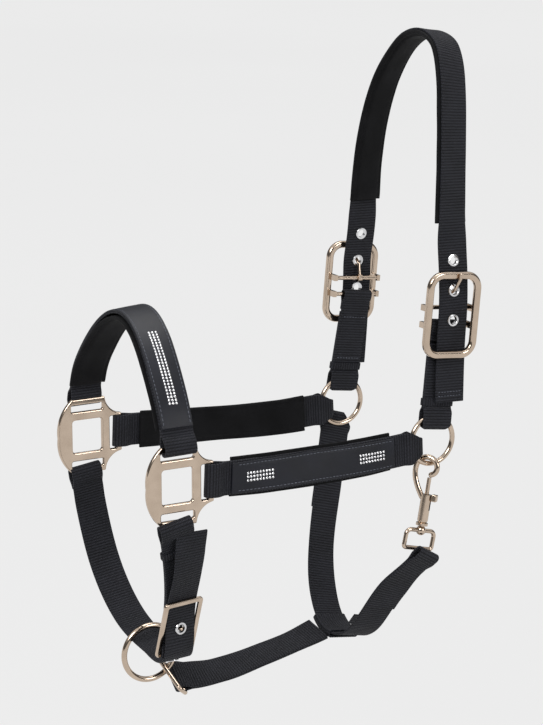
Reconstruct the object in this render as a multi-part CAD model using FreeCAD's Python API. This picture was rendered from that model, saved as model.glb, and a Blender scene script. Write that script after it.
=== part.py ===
"""A horse headcollar in its worn shape: webbing straps, padded linings, overlays and hardware.

Frame, in millimetres: +X is the wearer's left (near) side, -Y points to the nose and +Z up.
The origin is where the crown lining rests on the poll, at the top of the head.
"""
import FreeCAD, Part
import math
import os

os.makedirs("parts", exist_ok=True)
V = FreeCAD.Vector

# ---------------------------------------------------------------- driving sizes
WEB_WIDTH = 25.0            # all strap webbing
WEB_THICK = 1.6
LAYER_GAP = 0.05            # between layers that are sewn face to face
RUN_GAP = 0.3               # between pieces that move on each other

CROWN_PAD_WIDTH = 29.0
CROWN_PAD_THICK = 4.6
CHEEK_PAD_WIDTH = 29.5
NOSE_PAD_WIDTH = 29.5
PAD_THICK = 4.0             # cheek and nose linings
CHEEK_OVERLAY_WIDTH = 23.0
NOSE_OVERLAY_WIDTH = 24.6
OVERLAY_THICK = 1.3

EYELET_BORE = 6.2
EYELET_RIM = 9.6
EYELET_PITCH = 22.6

RING_RADIUS = 18.3          # cheek rings, to the middle of the wire
RING_WIRE = 4.0
CHIN_RING_RADIUS = 21.4
CHIN_RING_WIRE = 4.4

RING_TAPER = 5.5            # length over which a ring fold's layers come together

STUD_DIAMETER = 2.0
STUD_HEIGHT = 0.8
STUD_LIFT = 0.06            # keeps a flat stud off a strap that rolls under it
STUD_SPREAD = 2.7           # between neighbours across a strap
CHEEK_STUD_PITCH = 2.63     # between neighbours along it
NOSE_STUD_PITCH = 2.4

# ---------------------------------------------------------------- places on the head
HALF_AT_CHEEK = 68.0        # X of the cheek rings and billets
RING_Y = -26.5
RING_Z = -296.8
HALF_AT_SQUARE = 78.0       # X of the square plates
SQUARE_Y = -247.2           # middle of the square's window
SQUARE_Z = -299.1

BUCKLE_LEAN = 5.0           # degrees, top to the rear
BUCKLE_HALF = 65.2
BUCKLE_Y = -14.8
BUCKLE_Z = -200.0
BUCKLE_WIDTH = 47.4
BUCKLE_HEIGHT = 66.0
BUCKLE_BAR = 5.6            # width of the frame's four sides
BUCKLE_THICK = 5.0
TONGUE_BAR_RISE = 4.5       # above the buckle's middle
STRAP_BAR_DROP = 8.5        # below the buckle's middle
CROSS_BAR = 3.4             # diameter of both cross bars


# ---------------------------------------------------------------- small helpers
def unit(v):
    return V(v) * (1.0 / v.Length)


def mirrored(shape):
    """The same piece on the other side of the head."""
    return shape.mirror(V(0, 0, 0), V(1, 0, 0))


def placed(shape, origin, along, across):
    """Moves a piece built in local axes: x along the strap, y across it, z out of its face."""
    x = unit(along)
    y = unit(V(across) - x * x.dot(across))
    z = x.cross(y)
    m = FreeCAD.Matrix(x.x, y.x, z.x, origin.x,
                       x.y, y.y, z.y, origin.y,
                       x.z, y.z, z.z, origin.z,
                       0, 0, 0, 1)
    out = shape.copy()
    out.transformShape(m)
    return out


def solid_of(shape):
    """One clean solid from a boolean result."""
    shape = shape.removeSplitter()
    return shape.Solids[0] if len(shape.Solids) == 1 else shape


def rounded_rect(width, height, radius):
    """A rounded rectangle face in the XY plane, centred."""
    w, h, r = width / 2, height / 2, radius
    k = r * (1 - math.sqrt(0.5))
    edges = []
    corners = [(w, h, 1, 1), (-w, h, -1, 1), (-w, -h, -1, -1), (w, -h, 1, -1)]
    for i, (cx, cy, sx, sy) in enumerate(corners):
        a = V(cx, cy - sy * r, 0)
        b = V(cx - sx * r, cy, 0)
        if i % 2:
            a, b = b, a
        edges.append((a, V(cx - sx * k, cy - sy * k, 0), b))
    loop = []
    for i, (a, mid, b) in enumerate(edges):
        loop.append(Part.Arc(a, mid, b).toShape())
        loop.append(Part.makeLine(b, edges[(i + 1) % 4][0]))
    return Part.Face(Part.Wire(loop))


# ---------------------------------------------------------------- straps
class Path:
    """The middle line of a strap: points with the strap's width direction at each."""

    def __init__(self, stations):
        self.points = [V(*p) for p, _ in stations]
        self.length = [0.0]
        for a, b in zip(self.points, self.points[1:]):
            self.length.append(self.length[-1] + (b - a).Length)
        self.line = Part.BSplineCurve()
        self.line.interpolate(Points=self.points, Parameters=self.length)
        self.turns = [unit(V(*w)) for _, w in stations]
        self.total = self.length[-1]

    def turn(self, s):
        """The width direction at a distance s, eased from one station to the next."""
        for i in range(len(self.length) - 1):
            a, b = self.length[i], self.length[i + 1]
            if s <= b or i == len(self.length) - 2:
                f = min(max((s - a) / (b - a), 0.0), 1.0)
                f = f * f * (3 - 2 * f)
                return unit(self.turns[i] * (1 - f) + self.turns[i + 1] * f)

    def at(self, s):
        """Point, along, across and outward face direction at a distance s."""
        p = self.line.value(s)
        along = unit(V(*self.line.tangent(s)[0]))
        across = self.turn(s)
        across = unit(across - along * along.dot(across))
        return p, along, across, along.cross(across)

    def where_z(self, z, from_end=False):
        """The first distance at which the strap reaches height z."""
        steps = 400
        order = range(steps, -1, -1) if from_end else range(steps + 1)
        values = [(self.line.value(self.total * i / steps).z - z, self.total * i / steps) for i in order]
        for (a, sa), (b, sb) in zip(values, values[1:]):
            if a * b <= 0:
                return sa + (sb - sa) * (a / (a - b) if a != b else 0)
        raise ValueError("the strap does not reach z = %.1f" % z)


def ribbon(path, width, low, high, start=0.0, stop=None, count=None):
    """A strap layer between two heights above the middle line, from start to stop.

    width is a number, or a function of the distance along the path.
    """
    stop = path.total if stop is None else stop
    count = count or max(6, int((stop - start) / 9.0))
    rows = [[], [], [], []]
    params = []
    for i in range(count + 1):
        s = start + (stop - start) * i / count
        p, _, across, out = path.at(s)
        half = (width(s) if callable(width) else width) / 2
        for row, (side, h) in zip(rows, ((-1, low), (1, low), (1, high), (-1, high))):
            row.append(p + across * (side * half) + out * h)
        params.append(s)
    edges = []
    for row in rows:
        curve = Part.BSplineCurve()
        curve.interpolate(Points=row, Parameters=params)
        edges.append(curve.toShape())
    faces = [Part.makeRuledSurface(edges[i], edges[(i + 1) % 4], 1) for i in range(4)]
    for k in (0, -1):
        ends = [row[k] for row in rows]
        faces.append(Part.makeRuledSurface(Part.makeLine(ends[0], ends[1]),
                                           Part.makeLine(ends[3], ends[2]), 1))
    shell = Part.Compound(faces)
    shell.sewShape(1e-3)
    shell = Part.Shell(shell.Faces)
    solid = Part.Solid(shell)
    if solid.Volume < 0:
        solid.reverse()
    return solid


def two_layers(inner, flat, taper, reach, width):
    """The two layers of a folded strap: apart as far as flat, together past taper.

    Local axes: x along the strap from the fold, y across it.
    """
    t = WEB_THICK
    half = []
    for side in (1, -1):
        outline = [(0, inner), (0, inner + t), (flat, inner + t), (taper, t),
                   (reach, t), (reach, 0), (taper, 0), (flat, inner)]
        wire = Part.makePolygon([V(x, -width / 2, side * z) for x, z in outline + outline[:1]])
        half.append(Part.Face(wire).extrude(V(0, width, 0)))
    return half[0].fuse(half[1])


def bar_loop(inner, reach, width=WEB_WIDTH, flat=4.0, taper=12.0):
    """A strap end folded round a bar along y, leaving along +x."""
    outer = inner + WEB_THICK
    fold = Part.makeCylinder(outer, width, V(0, -width / 2, 0), V(0, 1, 0))
    fold = fold.cut(Part.makeCylinder(inner, width, V(0, -width / 2, 0), V(0, 1, 0)))
    fold = fold.common(Part.makeBox(outer, width, 2 * outer, V(-outer, -width / 2, -outer)))
    return solid_of(fold.fuse(two_layers(inner, flat, taper, reach, width)))


def ring_loop(reach, spread=(45.0, 45.0)):
    """A strap end folded round a cheek ring, which lies in local XY about the origin.

    spread is the room in degrees before the next strap on the -y side and on the +y side.
    """
    inner = RING_WIRE / 2 + RUN_GAP
    hole = RING_RADIUS - RING_WIRE / 2
    fold_at = math.sqrt(hole ** 2 - (WEB_WIDTH / 2) ** 2) + RING_WIRE / 2 - 0.1
    flat = RING_RADIUS - fold_at + RING_WIRE / 2 + 0.6
    body = bar_loop(inner, reach - fold_at, flat=flat, taper=flat + RING_TAPER)
    body.translate(V(fold_at, 0, 0))
    low, high = (math.tan(math.radians(a - 1.0)) for a in spread)
    corners = [V(0, 0, -8), V(reach, -reach * low, -8), V(reach, reach * high, -8)]
    wedge = Part.Face(Part.makePolygon(corners + corners[:1])).extrude(V(0, 0, 16))
    return solid_of(body.common(wedge))


def eyelet_hole(path, s):
    """The hole through the webbing for one eyelet."""
    p, _, _, out = path.at(s)
    return Part.makeCylinder(EYELET_BORE / 2 + 0.7, 8, p - out * 4, out)


def eyelet(path, s, gap=0.2):
    """A rolled metal eyelet: two flanges joined by a short tube, gap clear of the webbing's faces."""
    p, along, across, _ = path.at(s)
    bore, rim, wall = EYELET_BORE / 2, EYELET_RIM / 2, 0.6
    face = WEB_THICK / 2 + gap
    profile = [(bore, -face - 0.5), (rim - 0.3, -face - 0.5), (rim, -face), (bore + wall, -face),
               (bore + wall, face), (rim, face), (rim - 0.3, face + 0.5), (bore + 0.3, face + 0.7),
               (bore, face + 0.4)]
    wire = Part.makePolygon([V(r, 0, z) for r, z in profile + profile[:1]])
    piece = Part.Face(wire).revolve(V(0, 0, 0), V(0, 0, 1), 360)
    return placed(piece, p, along, across)


def studs(path, s, rows, columns, height, pitch):
    """A block of round studs on the strap's face, rows along it and columns across."""
    domes = []
    for i in range(rows):
        si = s + pitch * i
        p, along, across, out = path.at(si)
        for j in range(columns):
            q = p + across * (STUD_SPREAD * (j - (columns - 1) / 2)) + out * height
            domes.append(stud(q, out))
    return Part.Compound(domes)


def stud(at, out):
    """One low dome."""
    r, h = STUD_DIAMETER / 2, STUD_HEIGHT
    sphere = (r * r + h * h) / (2 * h)
    ball = Part.makeSphere(sphere, at - out * (sphere - h))
    return ball.common(Part.makeCylinder(r + 0.01, h + 0.2, at, out))


# ---------------------------------------------------------------- rings
def ring(centre, radius, wire):
    return Part.makeTorus(radius, wire / 2, centre, V(1, 0, 0))


# ---------------------------------------------------------------- square plate
SQUARE_THICK = 3.6
SQUARE_EASE = 1.1           # radius along the casting's edges
WINDOW_WIDTH = 24.6
WINDOW_HEIGHT = 25.8
SQUARE_BAR = 6.6            # bars between the window and the slots
SLOT_DEPTH = 5.6
SLOT_LENGTH = WEB_WIDTH + 1.2
OUTER_BAR = 4.4             # bars inside the webbing folds
FRONT_BAR = 11.8
BAR_LOOP = 3.0              # inner radius of a webbing fold round an outer bar


def eased(body, normal, level, radius):
    """Rounds the edges of the two flat faces that lie at level either way along normal."""
    rims = [e for e in body.Edges
            if all(abs(abs(v.Point.dot(normal)) - level) < 1e-4 for v in e.Vertexes)]
    return body.makeFillet(radius, rims)


def square_plate():
    """The cast square: a window with a webbing slot above, below and behind it. Near side."""
    w, h = WINDOW_WIDTH / 2, WINDOW_HEIGHT / 2
    top = h + SQUARE_BAR + SLOT_DEPTH + OUTER_BAR
    rear = w + SQUARE_BAR + SLOT_DEPTH + OUTER_BAR
    front = -w - FRONT_BAR
    tip_y, tip_z = SLOT_LENGTH / 2 + 2.0, SLOT_LENGTH / 2 + 2.0
    valley = w + SQUARE_BAR + 0.3

    def p(y, z):
        return V(0, y, z)

    upper = [Part.makeLine(p(rear, 0), p(rear, tip_z)),
             Part.Arc(p(rear, tip_z), p(valley, valley + 0.6), p(tip_y, top)).toShape(),
             Part.makeLine(p(tip_y, top), p(-tip_y + 3, top)),
             Part.Arc(p(-tip_y + 3, top), p(-w - 9.0, h + 5.0), p(front, 0)).toShape()]
    lower = [e.mirror(V(0, 0, 0), V(0, 0, 1)) for e in upper]
    plate = Part.Face(Part.Wire(Part.__sortEdges__(upper + lower)))
    plate = plate.extrude(V(SQUARE_THICK, 0, 0))
    plate.translate(V(-SQUARE_THICK / 2, 0, 0))

    def opening(width, height, y, z, radius):
        cut = rounded_rect(width, height, radius).extrude(V(0, 0, 20))
        cut.rotate(V(0, 0, 0), V(1, 1, 1), 120)
        cut.translate(V(-10, y, z))
        return cut

    slot_z = h + SQUARE_BAR + SLOT_DEPTH / 2
    slot_y = w + SQUARE_BAR + SLOT_DEPTH / 2
    plate = plate.cut(opening(WINDOW_WIDTH, WINDOW_HEIGHT, 0, 0, 2.5))
    for z in (slot_z, -slot_z):
        plate = plate.cut(opening(SLOT_LENGTH, SLOT_DEPTH, 0, z, 1.5))
    plate = plate.cut(opening(SLOT_DEPTH, SLOT_LENGTH, slot_y, 0, 1.5))
    plate = eased(solid_of(plate), V(1, 0, 0), SQUARE_THICK / 2, SQUARE_EASE)
    plate.translate(V(HALF_AT_SQUARE, SQUARE_Y, SQUARE_Z))
    return solid_of(plate)


OUTER_BAR_RISE = WINDOW_HEIGHT / 2 + SQUARE_BAR + SLOT_DEPTH + OUTER_BAR / 2
OUTER_BAR_BACK = WINDOW_WIDTH / 2 + SQUARE_BAR + SLOT_DEPTH + OUTER_BAR / 2
TOP_BAR = V(HALF_AT_SQUARE, SQUARE_Y, SQUARE_Z + OUTER_BAR_RISE)
BOTTOM_BAR = V(HALF_AT_SQUARE, SQUARE_Y, SQUARE_Z - OUTER_BAR_RISE)
REAR_BAR = V(HALF_AT_SQUARE, SQUARE_Y + OUTER_BAR_BACK, SQUARE_Z)

# ---------------------------------------------------------------- cheek buckle
CHEEK = V(HALF_AT_CHEEK, RING_Y, RING_Z)
STRAP_OVER = CROSS_BAR / 2 + 4 * RUN_GAP + 1.5 * WEB_THICK    # strap middle above the cross bars
FRAME_OVER = STRAP_OVER + WEB_THICK / 2 + 2 * RUN_GAP + BUCKLE_THICK / 2
BUCKLE_UP = V(0, math.sin(math.radians(BUCKLE_LEAN)), math.cos(math.radians(BUCKLE_LEAN)))
BUCKLE_BACK = V(0, math.cos(math.radians(BUCKLE_LEAN)), -math.sin(math.radians(BUCKLE_LEAN)))
BUCKLE_MIDDLE = V(BUCKLE_HALF, BUCKLE_Y, BUCKLE_Z)


def in_buckle(shape):
    """From buckle axes (x out, y to the rear, z up) to the near side of the head."""
    out = shape.copy()
    out.rotate(V(0, 0, 0), V(1, 0, 0), -BUCKLE_LEAN)
    out.translate(BUCKLE_MIDDLE)
    return out


def upright(face, x0, depth):
    """A face drawn in XY stood up in YZ and given a depth along +X from x0."""
    body = face.extrude(V(0, 0, depth))
    body.rotate(V(0, 0, 0), V(1, 1, 1), 120)
    body.translate(V(x0, 0, 0))
    return body


def soften(body, radius, level):
    """Rounds the long edges of a flat frame at the heights given in level."""
    edges = []
    for e in body.Edges:
        box = e.BoundBox
        if box.XLength < 1e-4 and any(abs(box.XMin - x) < 1e-4 for x in level):
            edges.append(e)
    return body.makeFillet(radius, edges)


def buckle_frame():
    """A rounded rectangular frame with two cross bars set behind it on lugs."""
    x0 = FRAME_OVER - BUCKLE_THICK / 2
    outer = upright(rounded_rect(BUCKLE_WIDTH, BUCKLE_HEIGHT, 13.0), x0, BUCKLE_THICK)
    inner = upright(rounded_rect(BUCKLE_WIDTH - 2 * BUCKLE_BAR, BUCKLE_HEIGHT - 2 * BUCKLE_BAR, 7.5),
                    x0, BUCKLE_THICK)
    frame = soften(outer.cut(inner), 2.0, (x0, x0 + BUCKLE_THICK))
    span = BUCKLE_WIDTH - 2 * BUCKLE_BAR
    for z in (TONGUE_BAR_RISE, -STRAP_BAR_DROP):
        frame = frame.fuse(Part.makeCylinder(CROSS_BAR / 2, span + 2.4, V(0, -span / 2 - 1.2, z), V(0, 1, 0)))
        for side in (-1, 1):
            y = side * (span / 2 + 1.6) - 1.4
            lug = Part.makeBox(x0 + 1.5 + CROSS_BAR / 2, 2.8, CROSS_BAR + 1.2,
                               V(-CROSS_BAR / 2, y, z - CROSS_BAR / 2 - 0.6))
            frame = frame.fuse(lug)
    return in_buckle(solid_of(frame))


def rod(points, radius):
    """A round rod through points, with ball joints at the turns and a round tip."""
    body = None
    for a, b in zip(points, points[1:]):
        piece = Part.makeCylinder(radius, (b - a).Length, a, b - a).fuse(Part.makeSphere(radius, b))
        body = piece if body is None else body.fuse(piece)
    return body


TONGUE_RADIUS = 1.3
TONGUE_EYELET_RISE = 13.4   # eyelet used by the tongue, above the tongue bar
TONGUE_Y = 2.2              # the strap and its tongue sit a little to the rear of the middle


def buckle_tongue():
    """A tongue on the upper cross bar, up through the eyelet and onto the top of the frame."""
    z = TONGUE_BAR_RISE
    bore = CROSS_BAR / 2 + 0.08
    hub = Part.makeCylinder(bore + 1.2, 3.6, V(0, TONGUE_Y - 1.8, z), V(0, 1, 0))
    top_x = FRAME_OVER + BUCKLE_THICK / 2 + TONGUE_RADIUS + 0.3
    top_z = BUCKLE_HEIGHT / 2 - BUCKLE_BAR / 2
    bend = z + TONGUE_EYELET_RISE
    low = V(STRAP_OVER - WEB_THICK / 2 - RUN_GAP - 0.75 - TONGUE_RADIUS, TONGUE_Y, bend - 2.0)
    points = [V(-0.4, TONGUE_Y, z + 2.4), low, V(STRAP_OVER + 1.8, TONGUE_Y, bend + 1.2),
              V(top_x, TONGUE_Y, top_z - 1.6), V(top_x, TONGUE_Y, top_z + 1.2)]
    body = hub.fuse(rod(points, TONGUE_RADIUS))
    body = body.cut(Part.makeCylinder(bore, 8, V(0, TONGUE_Y - 4, z), V(0, 1, 0)))
    return in_buckle(solid_of(body))


# ---------------------------------------------------------------- billet between buckle and ring
STRAP_BAR = BUCKLE_MIDDLE - BUCKLE_UP * STRAP_BAR_DROP
BILLET_UP = unit(V(0, STRAP_BAR.y - CHEEK.y, STRAP_BAR.z - CHEEK.z))
BILLET_BACK = V(0, BILLET_UP.z, -BILLET_UP.y)
BILLET_REACH = RING_RADIUS + 14.0
BILLET_TOP_REACH = 14.0
billet_path = Path([(tuple(CHEEK + BILLET_UP * BILLET_REACH), tuple(BILLET_BACK)),
                    (tuple(STRAP_BAR - BUCKLE_UP * BILLET_TOP_REACH), tuple(BUCKLE_BACK))])


def billet():
    """Webbing folded round the ring's top and round the buckle's lower cross bar."""
    low = placed(ring_loop(BILLET_REACH, (48.5, 60.0)), CHEEK, BILLET_UP, BILLET_BACK)
    high = placed(bar_loop(CROSS_BAR / 2 + RUN_GAP, BILLET_TOP_REACH, flat=1.0, taper=8.0),
                  STRAP_BAR, BUCKLE_UP * -1, BUCKLE_BACK)
    strap = ribbon(billet_path, WEB_WIDTH, -WEB_THICK, WEB_THICK, count=8)
    return solid_of(strap.fuse(low).fuse(high))


KEEPER_HEIGHT = 5.0
KEEPER_THICK = 1.3
KEEPER_RISE = RING_RADIUS + 11.2     # above the ring's middle
TAG_THICK = 0.7
TAG_RISE = RING_RADIUS + 5.3


def sleeve(width, thick, wall, height):
    """A flat band round a strap, in local axes: x along, y across, z out."""
    gap = LAYER_GAP
    outer = Part.makeBox(height, width + 2 * (wall + gap), thick + 2 * (wall + gap),
                         V(-height / 2, -width / 2 - wall - gap, -thick / 2 - wall - gap))
    inner = Part.makeBox(height, width + 2 * gap, thick + 2 * gap,
                         V(-height / 2, -width / 2 - gap, -thick / 2 - gap))
    return outer.cut(inner)


def keeper():
    band = sleeve(WEB_WIDTH, 2 * WEB_THICK, KEEPER_THICK, KEEPER_HEIGHT)
    return placed(band, CHEEK + BILLET_UP * KEEPER_RISE, BILLET_UP, BILLET_BACK)


def size_tag():
    """A small blank fabric tag on the slope of the billet's fold, below its keeper."""
    run, drop = RING_TAPER, RING_WIRE / 2 + RUN_GAP
    slope = math.degrees(math.atan2(drop, run))
    height = math.hypot(run, drop) - 0.3
    body = Part.makeBox(height, 23.0, TAG_THICK, V(-height / 2, -11.5, LAYER_GAP + 0.05))
    body.rotate(V(0, 0, 0), V(0, 1, 0), slope)
    body.translate(V(TAG_RISE, 0, WEB_THICK + drop / 2))
    return placed(body, CHEEK, BILLET_UP, BILLET_BACK * -1)


# ---------------------------------------------------------------- crown strap
FREE_END_Z = -267.5
CROWN_PAD_END_Z = -132.0
SEAT_EYELET = BUCKLE_MIDDLE + BUCKLE_UP * (TONGUE_BAR_RISE + TONGUE_EYELET_RISE)
over_x = BUCKLE_HALF + STRAP_OVER
LOW_CROWN = [((over_x + 2.1, -14.6, FREE_END_Z), (0, 1, -0.03)),
             ((over_x + 0.9, -13.7, -246.0), (0, 1, -0.03)),
             ((over_x, -12.4, -218.0), (0, 1, -0.03)),
             ((over_x, -11.2, -196.0), (0, 1, -0.03)),
             ((over_x - 0.3, SEAT_EYELET.y + TONGUE_Y, SEAT_EYELET.z), (0, 1, -0.03)),
             ((over_x - 2.6, -10.2, -166.0), (0, 1, 0)),
             ((over_x - 5.2, -9.8, -148.0), (0, 1, 0))]
HIGH_CROWN = [((63.4, -9.0, -124.0), (-0.16, 1, 0)),
              ((61.5, -7.6, -90.0), (-0.2, 1, 0)),
              ((57.8, -5.6, -54.0), (-0.2, 1, 0)),
              ((51.5, -3.0, -24.0), (-0.22, 1, -0.05)),
              ((38.0, 0.0, -2.0), (-0.26, 1, -0.12)),
              ((17.0, 1.5, 6.0), (-0.3, 1, -0.16)),
              ((-6.0, 0.5, 3.5), (-0.3, 1, -0.1)),
              ((-26.0, -2.0, -11.0), (-0.26, 1, 0)),
              ((-42.0, -5.0, -34.0), (-0.22, 1, 0)),
              ((-54.0, -7.2, -64.0), (-0.2, 1, 0)),
              ((-61.5, -8.6, -98.0), (-0.18, 1, 0)),
              ((-64.2, -9.2, -126.0), (-0.14, 1, 0))]
off_low = [((-p[0], p[1], p[2]), (-w[0], w[1], w[2])) for p, w in LOW_CROWN]
crown_path = Path(off_low + HIGH_CROWN[::-1] + LOW_CROWN[::-1])


def crown_eyelet_places():
    """Distances along the crown strap of the eyelets: near side first, then off side."""
    seat = crown_path.where_z(SEAT_EYELET.z, from_end=True)
    near = [seat + EYELET_PITCH * k for k in (-1, 0, 1)]
    return near, [crown_path.total - s for s in near]


def crown_webbing():
    strap = ribbon(crown_path, WEB_WIDTH, -WEB_THICK / 2, WEB_THICK / 2, count=72)
    near, off = crown_eyelet_places()
    for s in near + off:
        strap = strap.cut(eyelet_hole(crown_path, s))
    return solid_of(strap)


def crown_lining():
    start = crown_path.where_z(CROWN_PAD_END_Z)
    stop = crown_path.where_z(CROWN_PAD_END_Z, from_end=True)
    low = -WEB_THICK / 2 - LAYER_GAP - CROWN_PAD_THICK
    high = -WEB_THICK / 2 - LAYER_GAP
    return ribbon(crown_path, CROWN_PAD_WIDTH, low, high, start, stop, count=44)


# ---------------------------------------------------------------- cheekpieces
SLAB = 2 * WEB_THICK        # two layers of webbing face to face
CHEEK_DROP = 8.0            # degrees, the strap leaves the ring this much below level
cheek_dir = V(0, -math.cos(math.radians(CHEEK_DROP)), -math.sin(math.radians(CHEEK_DROP)))
CHEEK_REACH = RING_RADIUS + 16.0
cheek_from = CHEEK + cheek_dir * CHEEK_REACH
cheek_to = REAR_BAR + V(0, 15.0, 0)
cheek_path = Path([(tuple(cheek_from), (0, 0, -1)),
                   ((HALF_AT_CHEEK + 1.6, -88.0, RING_Z - 5.6), (0.1, 0, -1)),
                   ((HALF_AT_CHEEK + 5.4, -130.0, RING_Z - 4.7), (0.2, 0, -1)),
                   ((HALF_AT_CHEEK + 8.8, -172.0, SQUARE_Z - 1.3), (0.12, 0, -1)),
                   (tuple(cheek_to), (0, 0, -1))])


def cheek_webbing():
    strap = ribbon(cheek_path, WEB_WIDTH, -WEB_THICK, WEB_THICK, count=12)
    ring_end = placed(ring_loop(CHEEK_REACH, (52.5, 34.5)), CHEEK, cheek_dir, V(0, 0, -1))
    square_end = placed(bar_loop(BAR_LOOP, 15.0), REAR_BAR, V(0, 1, 0), V(0, 0, 1))
    return solid_of(strap.fuse(ring_end).fuse(square_end))


def cheek_lining():
    low = -WEB_THICK - LAYER_GAP - PAD_THICK
    return ribbon(cheek_path, CHEEK_PAD_WIDTH, low, -WEB_THICK - LAYER_GAP, 2.0, cheek_path.total - 2.0,
                  count=12)


def cheek_overlay():
    low = WEB_THICK + LAYER_GAP
    return ribbon(cheek_path, CHEEK_OVERLAY_WIDTH, low, low + OVERLAY_THICK, 1.0, cheek_path.total - 1.0, count=20)


def cheek_studs():
    height = WEB_THICK + LAYER_GAP + OVERLAY_THICK + STUD_LIFT
    rear = studs(cheek_path, 11.0, 9, 3, height, CHEEK_STUD_PITCH)
    front = studs(cheek_path, cheek_path.total - 14.0 - CHEEK_STUD_PITCH * 8, 9, 3, height, CHEEK_STUD_PITCH)
    return Part.Compound(rear.Solids + front.Solids)


# ---------------------------------------------------------------- noseband
nose_near = [((HALF_AT_SQUARE, SQUARE_Y, TOP_BAR.z + 14.0), (0, 1, 0)),
             ((HALF_AT_SQUARE - 4.4, -247.2, -246.5), (0, 1, 0.02)),
             ((HALF_AT_SQUARE * 0.795, -246.4, -229.0), (0, 1, 0.04)),
             ((HALF_AT_SQUARE * 0.6, -245.0, -212.0), (0, 1, 0.06)),
             ((HALF_AT_SQUARE * 0.378, -243.4, -197.5), (0, 1, 0.08)),
             ((HALF_AT_SQUARE * 0.135, -242.4, -189.0), (0, 1, 0.08))]
nose_off = [((-p[0], p[1], p[2]), (-w[0], w[1], w[2])) for p, w in nose_near]
nose_path = Path(nose_off + nose_near[::-1])
NOSE_END = 1.0


def nose_webbing():
    strap = ribbon(nose_path, WEB_WIDTH, -WEB_THICK, WEB_THICK, count=30)
    near = placed(bar_loop(BAR_LOOP, 14.0), TOP_BAR, V(0, 0, 1), V(0, 1, 0))
    off = mirrored(near)
    return solid_of(strap.fuse(near).fuse(off))


def nose_lining():
    high = -WEB_THICK - LAYER_GAP
    return ribbon(nose_path, NOSE_PAD_WIDTH, high - PAD_THICK, high, NOSE_END, nose_path.total - NOSE_END,
                  count=30)


def nose_overlay():
    low = WEB_THICK + LAYER_GAP
    return ribbon(nose_path, NOSE_OVERLAY_WIDTH, low, low + OVERLAY_THICK, NOSE_END, nose_path.total - NOSE_END,
                  count=30)


def nose_studs():
    height = WEB_THICK + LAYER_GAP + OVERLAY_THICK + STUD_LIFT
    first = studs(nose_path, 17.9, 25, 3, height, NOSE_STUD_PITCH)
    second = studs(nose_path, nose_path.total - 17.9 - NOSE_STUD_PITCH * 24, 25, 3, height, NOSE_STUD_PITCH)
    return Part.Compound(first.Solids + second.Solids)


# ---------------------------------------------------------------- chin buckle
CHIN_TOP = V(HALF_AT_SQUARE - 8.5, -238.3, -390.5)      # middle of the upper bar
CHIN_HEEL = V(HALF_AT_SQUARE - 21.5, -240.0, -431.5)     # middle of the lower bar, which the tongue and hanger share
CHIN_WIDTH = 33.5
CHIN_BAR = 3.6
CHIN_THICK = 2.6
CHIN_EASE = 0.8
CHIN_UP = unit(CHIN_TOP - CHIN_HEEL)
CHIN_ACROSS = unit(V(-0.15, 1, 0) - CHIN_UP * CHIN_UP.dot(V(-0.15, 1, 0)))
CHIN_OUT = CHIN_ACROSS.cross(CHIN_UP)
CHIN_SPAN = (CHIN_TOP - CHIN_HEEL).Length


def chin_frame():
    """A flat square-cornered frame with a round heel bar."""
    height = CHIN_SPAN + CHIN_BAR
    middle = CHIN_SPAN / 2
    outer = rounded_rect(height, CHIN_WIDTH, 3.0).extrude(V(0, 0, CHIN_THICK))
    inner = rounded_rect(height - 2 * CHIN_BAR, CHIN_WIDTH - 2 * CHIN_BAR, 1.2).extrude(V(0, 0, CHIN_THICK))
    body = outer.cut(inner)
    body.translate(V(middle, 0, -CHIN_THICK / 2))
    body = eased(body, V(0, 0, 1), CHIN_THICK / 2, CHIN_EASE)
    body = body.cut(Part.makeBox(CHIN_BAR + 0.2, CHIN_WIDTH - 2 * CHIN_BAR + 1, 10,
                                 V(-CHIN_BAR / 2 - 0.1, -(CHIN_WIDTH - 2 * CHIN_BAR + 1) / 2, -5)))
    heel = Part.makeCylinder(CHIN_BAR / 2, CHIN_WIDTH - 2 * CHIN_BAR + 1,
                             V(0, -(CHIN_WIDTH - 2 * CHIN_BAR + 1) / 2, 0), V(0, 1, 0))
    return placed(solid_of(body.fuse(heel)), CHIN_HEEL, CHIN_UP, CHIN_ACROSS)


# ---------------------------------------------------------------- chin strap
CHIN_RING = V(0, -233.0, -452.6)
CHIN_OVER = CHIN_BAR / 2 + RUN_GAP + WEB_THICK + RUN_GAP + WEB_THICK / 2
chin_start = V(-HALF_AT_SQUARE, SQUARE_Y, BOTTOM_BAR.z - 14.0)
inside_top = CHIN_TOP - CHIN_OUT * (CHIN_THICK / 2 + RUN_GAP + WEB_THICK / 2)
outside_heel = CHIN_HEEL + CHIN_OUT * CHIN_OVER
chin_path = Path([(tuple(chin_start), (0, 1, 0)),
                  ((-HALF_AT_SQUARE * 0.96, -243.5, -368.0), (0, 1, 0.06)),
                  ((-HALF_AT_SQUARE * 0.846, -240.0, -396.0), (0, 1, 0.1)),
                  ((-HALF_AT_SQUARE * 0.64, -236.6, -419.5), (0, 1, 0.13)),
                  ((-HALF_AT_SQUARE * 0.333, -234.2, -435.5), (0, 1, 0.14)),
                  ((0.0, -233.4, -441.2), (0, 1, 0.12)),
                  ((HALF_AT_SQUARE * 0.308, -234.6, -442.2), (0, 1, 0.08)),
                  ((HALF_AT_SQUARE * 0.564, -237.6, -441.0), (0, 1, 0.04)),
                  (tuple(outside_heel - CHIN_UP * 1.0), tuple(CHIN_ACROSS)),
                  (tuple((inside_top + outside_heel) * 0.5), tuple(CHIN_ACROSS)),
                  (tuple(inside_top), tuple(CHIN_ACROSS)),
                  ((HALF_AT_SQUARE - 2.0, -238.4, -368.0), (-0.2, 1, 0)),
                  ((HALF_AT_SQUARE + 3.0, -238.4, -348.0), (-0.1, 1, 0)),
                  ((HALF_AT_SQUARE + 5.4, -238.4, -333.0), (0, 1, 0))])


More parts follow.
